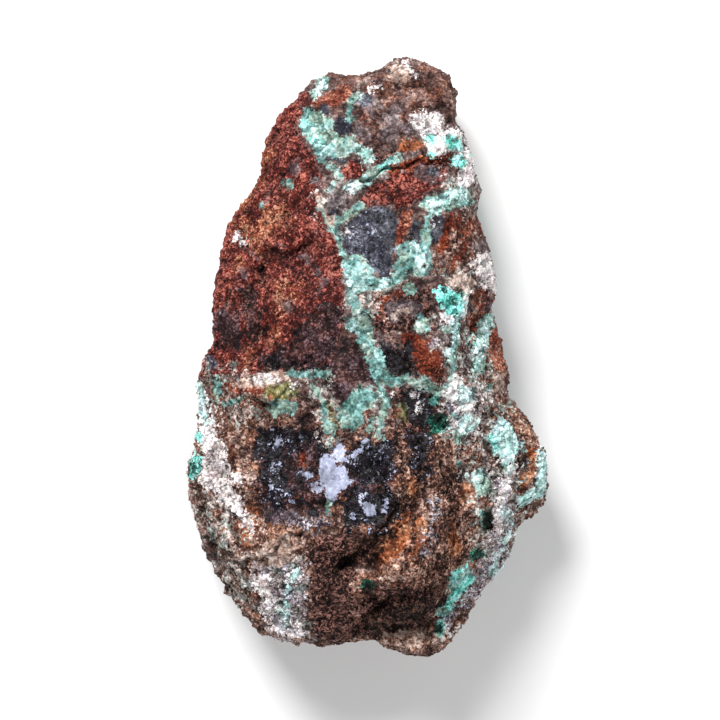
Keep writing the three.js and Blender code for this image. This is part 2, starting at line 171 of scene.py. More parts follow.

# Areas of each mineral, of painted shade and of painted glints on the upper face, each with its own name
MARKS = {
    "rust": {
        "rust face": area((300, 90), (312, 100), (302, 110), (298, 131), (309, 147), (318, 164), (322, 184),
                          (318, 200), (335, 235), (345, 262), (345, 300), (347, 318), (340, 340),
                          (331, 368), (262, 374), (190, 380), (180, 300), (230, 180), (260, 100)),
        "under the tip bed": area((366, 188), (390, 172), (420, 166), (450, 164), (446, 182), (424, 196),
                                  (402, 208), (376, 204), (356, 206)),
        "tip": area((408, 82), (428, 74), (442, 86), (438, 104), (420, 108), (410, 98)),
        "clast over the teal vein": area((341, 168), (350, 160), (364, 164), (362, 178), (346, 180)),
    },
    "light_rust": {
        "crown of the rust face": area((238, 224), (262, 206), (286, 208), (284, 228), (270, 244),
                                       (244, 246)),
        "rust face spot": spot(241, 263, 7, 7),
        "rust face specks": vein(5, (262, 240), (258, 252)),
        "rust face streak": vein(6, (286, 280), (280, 304), (276, 326), (272, 342)),
        "left edge": vein(10, (268, 150), (252, 186), (232, 220)),
        "foot of the rust face": vein(7, (238, 340), (250, 352), (246, 364)),
        "pale line": vein(2, (297, 291), (283, 303)),
    },
    "brown": {
        "lower half": area((196, 378), (225, 372), (262, 372), (300, 398), (336, 402), (392, 420),
                           (440, 392), (462, 330), (480, 270), (515, 290), (520, 400), (555, 420),
                           (560, 500), (530, 570), (450, 660), (330, 655), (250, 640), (180, 490)),
        "block right of the clast": area((432, 245), (442, 216), (462, 212), (482, 209), (490, 240),
                                         (488, 258), (470, 272), (446, 281), (436, 272)),
        "rubble under the clast": area((372, 286), (412, 282), (432, 300), (436, 330), (410, 345),
                                       (376, 336)),
    },
    "grey_brown": {
        "tip": area((332, 70), (372, 74), (398, 58), (440, 62), (458, 82), (460, 108), (436, 112),
                    (412, 118), (410, 138), (392, 146), (368, 142), (352, 124), (362, 92)),
        "wood streaks": area((425, 440), (470, 432), (492, 500), (490, 540), (470, 580), (440, 600),
                             (425, 560), (432, 500)),
    },
    "maroon": {
        # Dark maroon rock, darkened as painted shadow under the step
        "step": area((302, 318), (322, 302), (344, 306), (340, 340), (334, 368), (300, 372), (258, 372),
                     (262, 354), (290, 346)),
        "clast over the green pool": area((330, 350), (348, 338), (370, 352), (382, 372), (378, 386),
                                          (356, 388), (350, 400), (334, 406), (326, 380)),
        "clast left of the pool": area((304, 404), (316, 402), (316, 430), (304, 430)),
        # Painted shade in the groove
        "groove": area((241, 284), (256, 280), (264, 308), (258, 336), (243, 330)),
        "left foot of the rust face": area((212, 312), (236, 310), (250, 334), (240, 352), (214, 346)),
        "around the left black field": area((254, 440), (270, 426), (300, 422), (322, 430), (330, 450),
                                            (330, 512), (300, 518), (270, 512), (256, 490)),
        "around the film field": area((340, 452), (362, 440), (394, 436), (398, 470), (392, 490), (398, 512),
                                      (384, 532), (356, 528), (340, 506)),
    },
    "ember": {
        "strong clast": area((400, 334), (418, 334), (432, 340), (443, 350), (449, 366), (446, 384),
                             (436, 387), (428, 378), (418, 371), (413, 356), (404, 346)),
        "bar": vein(9, (378, 316), (380, 304), (392, 296), (408, 290)),
        "left field": spot(303, 459, 5, 6),
        "block streak": vein(7, (452, 214), (446, 230), (440, 250)),
        "bed shadow": vein(13, (389, 168), (405, 165), (425, 162), (447, 158)),
    },
    "red": {
        "tip clast": area((312, 103), (325, 92), (345, 84), (355, 85), (348, 98), (340, 108), (318, 108)),
        "tip chip": spot(363, 112, 4, 8),
        "chip by the upper patch": spot(360, 140, 6, 7),
        "strip beside the clast": area((403, 212), (411, 211), (411, 222), (406, 233), (404, 244),
                                       (397, 245), (396, 230), (400, 222)),
        "block corner": vein(7, (460, 213), (456, 226)),
        "block streak": vein(9, (472, 222), (464, 244), (454, 266)),
        "block edge": vein(6, (482, 226), (486, 240)),
        "right edge": area((489, 332), (498, 326), (502, 345), (508, 368), (498, 372), (488, 356)),
        "right sliver": area((466, 312), (478, 312), (479, 328), (472, 342), (463, 340), (467, 326)),
        "edge clast": area((472, 286), (486, 290), (496, 300), (490, 313), (478, 316), (470, 304)),
        "left bed": vein(12, (228, 386), (248, 389), (266, 395), (278, 399)),
    },
    "orange": {
        "honey spot": spot(399, 412, 5, 8),
        "bed": area((398, 150), (402, 140), (425, 138), (427, 150), (416, 154)),
        "lower block": area((374, 552), (382, 530), (394, 514), (410, 512), (416, 528), (408, 548),
                            (398, 564), (378, 568)),
        "lower chip": spot(453, 543, 9, 19),
        "middle chip": spot(412, 486, 8, 10),
        "lower band": vein(9, (420, 522), (424, 540), (416, 558)),
        "strip chip": spot(469, 495, 7, 12),
        "lobe": vein(13, (533, 450), (528, 470), (519, 489)),
        "left foot": area((240, 500), (258, 510), (262, 540), (250, 556), (240, 530)),
    },
    "tan": {
        "left slope": vein(9, (232, 416), (240, 450), (246, 490)),
        "beige fan": area((254, 526), (282, 524), (306, 530), (304, 552), (282, 566), (252, 572),
                          (246, 548)),
        "bottom lump": area((376, 634), (402, 628), (430, 632), (452, 622), (450, 646), (412, 656),
                            (380, 648)),
        "brow of the groove": vein(8, (398, 566), (388, 574), (376, 578), (354, 584)),
        "upper vein": vein(5, (342, 226), (352, 219), (362, 213)),
        "lobe": vein(11, (513, 408), (527, 424), (536, 444)),
    },
    "grey": {
        "left foot": area((250, 566), (276, 558), (306, 562), (308, 600), (304, 640), (276, 640),
                          (256, 606)),
        "right foot": area((496, 474), (510, 474), (515, 500), (514, 520), (512, 540), (507, 558),
                           (498, 572), (486, 588), (474, 602), (462, 606), (466, 590), (474, 572),
                           (482, 556), (486, 540), (490, 520), (490, 500), (490, 486)),
        "streak": vein(5, (438, 500), (432, 525), (428, 545), (424, 555)),
        "under the film": vein(6, (322, 518), (310, 524), (296, 522)),
        "tail": vein(10, (454, 610), (444, 622)),
        "right field": area((440, 384), (478, 384), (486, 410), (482, 440), (462, 446), (446, 430),
                            (440, 404)),
    },
    "black": {
        "left field": area((252, 450), (260, 432), (280, 424), (304, 428), (306, 444), (292, 452),
                           (288, 466), (296, 482), (294, 502), (276, 508), (262, 500), (264, 484),
                           (256, 472), (262, 460)),
        "left field corner": vein(10, (304, 436), (318, 434), (322, 450), (314, 470), (300, 478)),
        "left field foot": vein(10, (290, 496), (308, 506), (326, 508)),
        "film field top": area((346, 464), (356, 450), (372, 438), (397, 438), (396, 462), (384, 484),
                               (360, 485), (350, 476)),
        "film field foot": area((336, 504), (356, 486), (384, 486), (400, 502), (394, 528), (376, 536),
                                (352, 524)),
        # Painted shade: black for the shade in the recess, the channel and the crack of the lobe
        "recess": area((388, 392), (410, 386), (428, 394), (434, 410), (430, 424), (412, 424), (404, 414),
                       (396, 402)),
        "channel": area((407, 426), (426, 424), (435, 446), (430, 472), (418, 480), (408, 464)),
        "lobe crack": vein(6, (524, 459), (518, 474), (515, 489)),
        # Painted shadow under the step
        "step": vein(9, (264, 363), (284, 366), (304, 370), (328, 368)),
        "corner over the pool": area((376, 338), (390, 342), (404, 348), (412, 360), (418, 374), (408, 381),
                                     (392, 380), (384, 366), (378, 352)),
        # Painted shade in the wave crack and in the gap of the strip
        "wave crack": vein(4, (444, 470), (446, 492), (450, 512)),
        "strip gap": spot(463, 472, 4, 3),
    },
    # Painted shade: darkness laid on the rock under the brow, along the foot and bottom edge, and in the
    # grooves and cracks
    "shade": {
        "brow": area((354, 638), (368, 612), (390, 600), (412, 592), (448, 582), (446, 602), (428, 618),
                     (398, 632)),
        "lower groove": vein(18, (398, 508), (386, 528), (374, 548), (356, 562), (340, 566)),
        "wave left": vein(5, (400, 444), (404, 480), (400, 506)),
        "wave right": vein(8, (446, 474), (449, 514), (446, 556), (436, 588)),
        "bottom": vein(9, (392, 650), (420, 656), (446, 650)),
        "foot": vein(8, (312, 641), (340, 643), (364, 638)),
        "rust groove": vein(9, (262, 268), (254, 286), (248, 298), (257, 314), (257, 338)),
    },
    "umber": {
        # Dark brown, made darker as painted shade of the facet that faces down and of the area under the
        # brow
        "lower facet": area((306, 546), (342, 530), (356, 560), (352, 600), (358, 640), (306, 644)),
        "over the brow": area((352, 606), (390, 590), (440, 576), (450, 600), (420, 630), (356, 644)),
        "under the pool": area((388, 384), (440, 388), (440, 428), (424, 470), (404, 468), (392, 420)),
        "tip foot": area((372, 150), (398, 146), (398, 156), (376, 168)),
        "rubble": area((374, 296), (412, 288), (436, 300), (438, 334), (412, 340), (376, 332)),
    },
    "wood": {
        "lower right": area((392, 436), (430, 430), (472, 440), (480, 490), (486, 540), (462, 584),
                            (430, 590), (404, 572), (388, 560), (404, 520), (396, 480)),
    },
    "slate": {
        "rust face upper spot": spot(238, 239, 6, 4),
        "rust face line": vein(3, (242, 246), (252, 254), (260, 261)),
        "rust face spot": spot(245, 274, 5, 5),
        "rust face left spot": spot(228, 309, 5, 3),
        "rust face curve": vein(4, (316, 271), (323, 282), (319, 292)),
        "rust face middle spot": spot(288, 306, 4, 5),
        "rust face back spot": spot(305, 259, 4, 3),
        "rust face crest": vein(3, (279, 247), (286, 244)),
        "rust face top": spot(294, 169, 5, 6),
        "rust face high": spot(266, 196, 4, 6),
        "rust face edge": spot(316, 182, 5, 4),
        "foot of the rust face": vein(5, (272, 366), (284, 362), (292, 366)),
        "tip middle": area((356, 96), (372, 92), (380, 104), (372, 116), (360, 110)),
        "tip right": area((384, 106), (400, 100), (404, 128), (392, 146), (380, 138)),
        "beside the eye": area((354, 120), (366, 122), (372, 140), (366, 148), (354, 136)),
        "under the bed": area((416, 168), (434, 164), (444, 174), (434, 184), (418, 182)),
        "over the big clast": area((324, 196), (344, 188), (350, 200), (338, 214), (326, 210)),
        "edge block": area((472, 240), (486, 236), (490, 252), (476, 256)),
        "rubble": area((384, 304), (404, 298), (422, 304), (424, 318), (404, 316), (388, 322)),
        "beside the orange clast": area((440, 334), (450, 340), (452, 362), (446, 352)),
    },
    "violet": {
        "right clast": area((458, 352), (466, 348), (474, 358), (472, 372), (466, 378), (460, 366)),
        "lobe foot": area((477, 446), (487, 448), (495, 462), (500, 478), (494, 490), (486, 484),
                          (482, 466)),
        "edge clast": spot(486, 304, 6, 6),
        "rubble": spot(438, 342, 6, 5),
        "left field": area((268, 508), (292, 508), (300, 520), (282, 528), (266, 522)),
        "tip": spot(407, 129, 7, 6),
        "beside the film": spot(318, 514, 10, 6),
    },
    "dark": {
        "big clast": area((341, 226), (350, 220), (360, 212), (375, 208), (393, 206), (397, 215), (394, 245),
                          (394, 262), (390, 275), (384, 283), (377, 272), (370, 266), (362, 258), (357, 252),
                          (353, 257), (347, 254), (343, 246)),
        "upper eye": spot(342, 126, 9),
        "upper eye chip": spot(325, 111, 5),
        "upper band": vein(5, (319, 153), (330, 158), (345, 163)),
        "tip bands": spot(364, 100, 8, 6),
        "claw": area((411, 228), (414, 218), (421, 220), (421, 240), (418, 247), (411, 240)),
        "beside the claw": area((430, 222), (436, 216), (444, 218), (442, 234), (436, 246), (431, 240)),
        "left of the clast": spot(334, 214, 6, 5),
        "block spot": spot(432, 172, 5, 5),
        "left lobe edge": spot(212, 364, 6, 8),
    },
    "mint": {
        "tip sliver": area((318, 76), (329, 77), (326, 88), (313, 98), (311, 95), (316, 85)),
        "upper patch": area((303, 108), (312, 107), (322, 114), (331, 116), (333, 130), (342, 136),
                            (352, 135), (354, 147), (347, 155), (335, 158), (325, 156), (315, 153),
                            (309, 145), (307, 137), (299, 131), (300, 122), (303, 114)),
        "under the upper patch": vein(6, (322, 160), (334, 167), (340, 176)),
        "blue vein": vein(7, (357, 93), (349, 106), (351, 118)),
        "beside the eye": vein(7, (352, 138), (360, 150), (368, 162)),
        "pale dash": vein(5, (322, 160), (337, 168)),
        "pale pool": spot(366, 157, 6, 7),
        "bed vein": vein(9, (400, 157), (388, 163), (380, 169), (368, 178), (354, 188)),
        "bed vein end": spot(353, 188, 9, 6),
        "rust face spot": spot(288, 185, 5),
        "rust face speck": spot(261, 205, 4),
        "short vein": vein(3, (336, 180), (327, 192)),
        "boundary vein": vein(4, (318, 200), (325, 220), (335, 235)),
        "clast rim": vein(8, (328, 228), (340, 221), (350, 213), (360, 206)),
        "upper right": area((422, 205), (428, 196), (436, 192), (447, 193), (455, 187), (468, 186),
                            (470, 203), (460, 208), (450, 211), (440, 212), (430, 213)),
        "centre": area((397, 250), (405, 243), (410, 238), (413, 240), (418, 247), (421, 232), (422, 216),
                       (431, 213), (430, 225), (431, 240), (432, 255), (429, 275), (424, 279), (415, 277),
                       (405, 270), (398, 275), (392, 278), (396, 265)),
        "face boundary": vein(6, (335, 230), (341, 248), (347, 264)),
        "left of centre": area((344, 258), (360, 255), (372, 270), (375, 282), (368, 290), (358, 292),
                               (352, 300), (348, 297), (345, 280), (343, 265)),
        "link": vein(13, (372, 283), (385, 286), (394, 281), (402, 275)),
        "rubble chip": spot(409, 289, 6),
        "rubble drop": spot(422, 324, 7, 9),
        "standing vein": area((348, 318), (356, 311), (364, 309), (370, 312), (372, 330), (374, 345),
                              (374, 352), (366, 350), (360, 345), (355, 342), (362, 335), (352, 332),
                              (345, 326)),
        "falling band": area((364, 344), (378, 346), (384, 360), (389, 373), (388, 384), (380, 382),
                             (371, 370), (364, 358)),
        "upper standing vein": vein(9, (352, 300), (356, 312), (362, 318)),
        "falling thread": vein(3, (360, 345), (370, 366), (381, 387)),
        "right strip": area((480, 318), (488, 314), (497, 314), (498, 322), (490, 330), (486, 345),
                            (486, 368), (478, 374), (472, 366), (476, 350), (470, 344), (478, 332)),
        "inner strip": vein(9, (462, 298), (462, 312), (456, 326), (456, 344), (452, 356), (454, 374),
                            (450, 384)),
        "inner strip side": spot(444, 329, 5, 5),
        "ledge band": vein(8, (327, 373), (305, 376), (290, 374)),
        "left band": vein(3, (222, 404), (244, 399), (262, 402)),
        "pale thread": vein(5, (311, 383), (318, 395), (323, 403), (326, 420)),
        "left pool": area((262, 408), (268, 403), (283, 400), (297, 402), (300, 408), (290, 414), (283, 413),
                          (275, 420), (270, 414)),
        "pool": area((348, 398), (357, 388), (373, 385), (377, 396), (374, 406), (364, 410), (362, 424),
                     (354, 432), (343, 428), (336, 418), (338, 409)),
        "pool strip": vein(9, (381, 385), (386, 400), (384, 410), (381, 420), (379, 436)),
        "pool foot": spot(372, 424, 4, 7),
        "pool left": spot(331, 430, 7, 6),
        "film tail": vein(5, (329, 500), (327, 512)),
        "arc": vein(9, (392, 383), (405, 380), (415, 383), (425, 381), (433, 388), (436, 395)),
        "lobe patch": area((487, 432), (495, 428), (501, 419), (512, 424), (518, 440), (520, 452),
                           (512, 460), (510, 474), (502, 472), (500, 458), (492, 458), (490, 440)),
        "lower strip": area((474, 472), (482, 466), (487, 475), (490, 490), (485, 498), (476, 492),
                            (471, 480)),
        "lobe band": area((539, 450), (545, 452), (549, 478), (546, 490), (534, 500), (518, 505), (518, 498),
                          (531, 490), (539, 474)),
        "pit lip": vein(5, (482, 512), (483, 524), (490, 528)),
        "left edge": vein(8, (198, 385), (203, 400), (205, 415), (207, 433)),
        "left edge pool": spot(217, 389, 5, 11),
        "right fleck": spot(471, 395, 4, 7),
        "right fleck outer": spot(490, 387, 4, 4),
        "right fleck below": spot(458, 438, 5, 7),
        "right fleck lowest": spot(458, 462, 3, 4),
        "right fleck inner": spot(454, 416, 4),
        "foot fleck": spot(296, 573, 4),
        "foot fleck below": spot(288, 606, 4),
        "foot fleck lowest": spot(286, 625, 4),
        "right foot band": area((462, 566), (470, 562), (474, 582), (464, 590), (458, 602), (448, 604),
                                (450, 576)),
        "tail band": vein(9, (452, 606), (440, 614)),
    },
    "dust": {
        "right band": area((446, 340), (470, 344), (490, 372), (500, 400), (515, 430), (515, 480),
                           (514, 540), (488, 570), (478, 520), (476, 470), (452, 436), (442, 400)),
        "over the inner strip": area((436, 316), (462, 314), (460, 344), (444, 338)),
        "beside the cluster": area((446, 276), (470, 268), (482, 280), (468, 296), (464, 318), (460, 290)),
        "left band": area((202, 386), (218, 374), (236, 372), (226, 390), (224, 406), (212, 412)),
        "left band foot": area((230, 404), (262, 400), (262, 412), (236, 416)),
        "pool band": area((302, 380), (322, 386), (346, 430), (330, 440), (314, 402)),
        "foot": area((252, 560), (300, 556), (306, 640), (276, 636), (252, 596)),
        "upper block": vein(6, (319, 196), (326, 212), (334, 226)),
        "hidden slope": area((194, 492), (214, 494), (236, 540), (252, 582), (240, 604), (212, 560)),
        "rubble": area((346, 292), (376, 290), (372, 310), (350, 314)),
        "upper right edge": area((446, 176), (476, 176), (478, 206), (462, 210)),
    },
    "cream": {
        "tip knob": area((388, 66), (400, 60), (410, 66), (410, 80), (400, 86), (390, 82)),
        "rubble line": vein(2, (386, 319), (398, 312), (410, 311)),
        "boundary": vein(5, (318, 196), (324, 208), (330, 222)),
        "over the teal cluster": area((446, 283), (458, 276), (474, 277), (478, 284), (466, 290),
                                      (456, 287)),
        "link foot": vein(3, (376, 292), (392, 287), (404, 281)),
        "beige fan": area((262, 540), (284, 534), (298, 548), (288, 562), (268, 566)),
        "lens": area((236, 384), (250, 376), (266, 370), (284, 372), (292, 378), (280, 384), (262, 386),
                     (246, 388)),
        "right edge foot": area((496, 372), (506, 374), (504, 394), (494, 392)),
        "bottom lump": vein(6, (388, 636), (404, 632), (424, 636)),
        "foot": spot(268, 556, 9, 6),
    },
    # Pale bluish specks on the dark fields, partly real grains and partly painted glints
    "frost_and_glints": {
        "left black field": area((264, 452), (286, 450), (294, 470), (290, 500), (270, 498)),
        "left field top": area((262, 442), (276, 434), (296, 440), (286, 450)),
        "film field": area((354, 456), (384, 446), (386, 472), (364, 476)),
        "film field foot": area((356, 500), (388, 490), (390, 520), (366, 524)),
        "recess": area((388, 390), (430, 390), (432, 424), (398, 420)),
        "channel": area((412, 434), (426, 434), (426, 470), (414, 466)),
        "big clast": area((352, 234), (370, 230), (378, 256), (362, 256)),
    },
    "ice": {
        "tip sliver": vein(4, (322, 82), (318, 92)),
        "bed vein end": spot(353, 188, 6, 4),
        "pale pool": spot(366, 157, 4, 5),
        "upper right": vein(7, (432, 204), (448, 200), (462, 193)),
        "centre heart": spot(414, 246, 4, 6),
        "centre foot": spot(421, 262, 4, 6),
        "left of centre": spot(350, 284, 3, 4),
        "link": vein(4, (378, 286), (392, 282)),
        "standing vein": vein(5, (354, 328), (360, 318)),
        "right strip": area((470, 340), (484, 338), (486, 347), (476, 354), (471, 348)),
        "right strip top": vein(6, (484, 332), (487, 322), (495, 318)),
        "right strip foot": vein(4, (480, 354), (476, 370)),
        "inner strip": vein(4, (462, 306), (456, 322), (450, 360)),
        "lobe patch": area((488, 430), (501, 418), (514, 425), (520, 444), (516, 461), (508, 471),
                           (498, 458), (491, 446)),
        "lower strip": spot(479, 475, 5, 6),
        "lobe band": vein(11, (544, 454), (546, 472), (541, 490), (524, 502)),
        "left edge": vein(6, (199, 386), (203, 404), (205, 424)),
        "foot": vein(5, (294, 572), (286, 600), (284, 628)),
        "strip": vein(5, (506, 512), (508, 534), (500, 554), (490, 570)),
        "white field": spot(464, 398, 8, 8),
        "white field foot": spot(467, 424, 9, 8),
        "right foot band": vein(5, (462, 592), (454, 602)),
    },
    "white": {
        "upper right": area((412, 113), (440, 113), (447, 127), (468, 135), (468, 150), (450, 152),
                            (432, 158), (427, 150), (424, 138), (415, 130), (411, 120)),
        "upper edge": area((462, 150), (474, 152), (478, 180), (468, 186), (456, 184)),
        "tip knob": vein(6, (404, 62), (412, 68), (415, 76)),
        "tip speck left": spot(357, 89, 2),
        "tip speck middle": spot(369, 88, 2, 3),
        "tip speck right": spot(379, 87, 2),
        "right edge": area((470, 264), (480, 254), (489, 251), (495, 266), (499, 285), (497, 294),
                           (488, 290), (480, 280)),
        "under the teal cluster": spot(448, 320, 8, 5),
        "right field": area((446, 396), (454, 384), (464, 390), (474, 403), (468, 412), (454, 408)),
        "right field foot": spot(472, 424, 7, 5),
        "lens": vein(6, (252, 379), (266, 376), (276, 379)),
        "dash": vein(4, (294, 386), (309, 384)),
        "left strip": area((195, 386), (205, 390), (211, 414), (219, 434), (225, 456), (230, 474),
                           (236, 488), (245, 506), (256, 522), (253, 532), (240, 518), (224, 504),
                           (207, 489), (199, 482), (202, 456), (199, 436), (195, 412)),
        "left strip branch": vein(5, (226, 470), (236, 476), (241, 488)),
        "beside the cluster": vein(6, (464, 300), (464, 312)),
        "inner strip": vein(5, (448, 320), (456, 319)),
        "field over the strip": vein(8, (456, 376), (458, 388)),
        "lobe strip": vein(10, (512, 466), (506, 484), (500, 504), (498, 530)),
        "foot": area((254, 574), (268, 572), (274, 590), (270, 612), (260, 602)),
        "lower foot": vein(7, (268, 618), (282, 631), (300, 635)),
        "tail": vein(5, (452, 634), (458, 626)),
        "rust face speck": spot(237, 238, 3),
        "rust face speck right": spot(244, 242, 2),
        "recess speck left": spot(392, 393, 3),
        "recess speck right": spot(413, 396, 3),
        "recess speck low": spot(418, 408, 3),
        "clast spot": spot(434, 224, 2),
    },
    "teal": {
        "upper patch edge": spot(303, 126, 4, 7),
        "upper patch low": spot(317, 141, 6, 6),
        "white field left": spot(431, 139, 6, 5),
        "white field right": area((443, 138), (452, 134), (462, 140), (461, 150), (450, 150)),
        "white field low": spot(433, 156, 4, 3),
        "white field edge": area((449, 160), (460, 154), (468, 160), (462, 168), (452, 168)),
        "bed vein heart": vein(5, (388, 163), (380, 168)),
        "cluster": area((434, 291), (440, 286), (447, 287), (455, 291), (462, 293), (462, 310), (458, 315),
                        (450, 314), (443, 308), (437, 300)),
        "pit ring": vein(4, (440, 434), (447, 428)),
        "arc end": spot(433, 400, 5),
        "left edge crystals": area((193, 455), (198, 453), (201, 463), (202, 470), (195, 480), (188, 480),
                                   (191, 468)),
        "left edge spot": spot(198, 438, 4),
        "lobe patch edge": vein(4, (490, 434), (494, 446), (500, 456)),
        "right foot heart": vein(8, (449, 606), (458, 592), (468, 580)),
        "right foot top": vein(6, (454, 578), (466, 568)),
        "right foot chip": spot(474, 556, 5, 4),
        "tail": spot(440, 626, 5, 9),
    },
    # Dark green crystals in the pits, darkened as painted shade; the pool shadow is painted shade alone
    "emerald_and_shade": {
        "pool shadow": spot(361, 387, 4, 3),
        "lower pit": spot(368, 585, 7, 6),
        "strip pit": spot(487, 520, 5, 11),
        "right foot dark": spot(475, 554, 7, 6),
        "cluster slot": spot(444, 292, 3, 2),
        "cluster slot right": spot(454, 301, 2, 3),
        "left edge heart": spot(195, 466, 3, 6),
        "pit": area((428, 416), (446, 414), (448, 426), (440, 435), (430, 434), (426, 426)),
        "tail pit": spot(438, 628, 4, 5),
    },
    "olive": {
        "left pool top": area((263, 388), (276, 383), (290, 384), (300, 388), (296, 396), (282, 400),
                              (268, 396)),
        "pool thread": vein(4, (322, 398), (330, 412), (338, 424)),
        "honey": spot(402, 416, 4, 7),
    },
    "film": {
        "black field speck": spot(278, 441, 2, 3),
        "black field specks": vein(2, (273, 465), (280, 463), (287, 462)),
        "black field foot": spot(271, 484, 2, 4),
        "upper lobe": area((334, 446), (340, 442), (345, 446), (346, 460), (338, 462), (332, 456)),
        "main": area((318, 460), (324, 455), (331, 457), (336, 462), (342, 465), (348, 470), (350, 482),
                     (346, 490), (338, 494), (333, 502), (326, 498), (324, 486), (318, 478)),
        "left lobe": area((301, 474), (305, 471), (312, 474), (314, 478), (307, 480)),
        "left lobe low": area((308, 485), (315, 483), (324, 487), (321, 492), (314, 491)),
        "bit above": area((350, 456), (356, 450), (362, 448), (363, 453), (356, 457)),
        "right wing": area((346, 483), (352, 479), (357, 481), (352, 486), (347, 488)),
        "bit above right": spot(365, 442, 3, 2),
        "lower piece": area((361, 507), (365, 502), (373, 503), (377, 512), (372, 517), (365, 514)),
        "lower hook": area((378, 511), (385, 505), (384, 499), (388, 499), (388, 508), (384, 513)),
        "left bit": spot(292, 501, 4, 3),
    },
    # Painted shade: near black in the pits
    "hole": {
        "star pit": spot(437, 418, 4, 5),
        "lower pit": spot(368, 586, 3, 3),
        "strip pit": spot(487, 518, 3, 7),
        "foot pit": spot(284, 586, 3, 3),
        "centre pit": spot(411, 271, 3, 3),
        "centre pit right": spot(424, 267, 2, 2),
    },
}
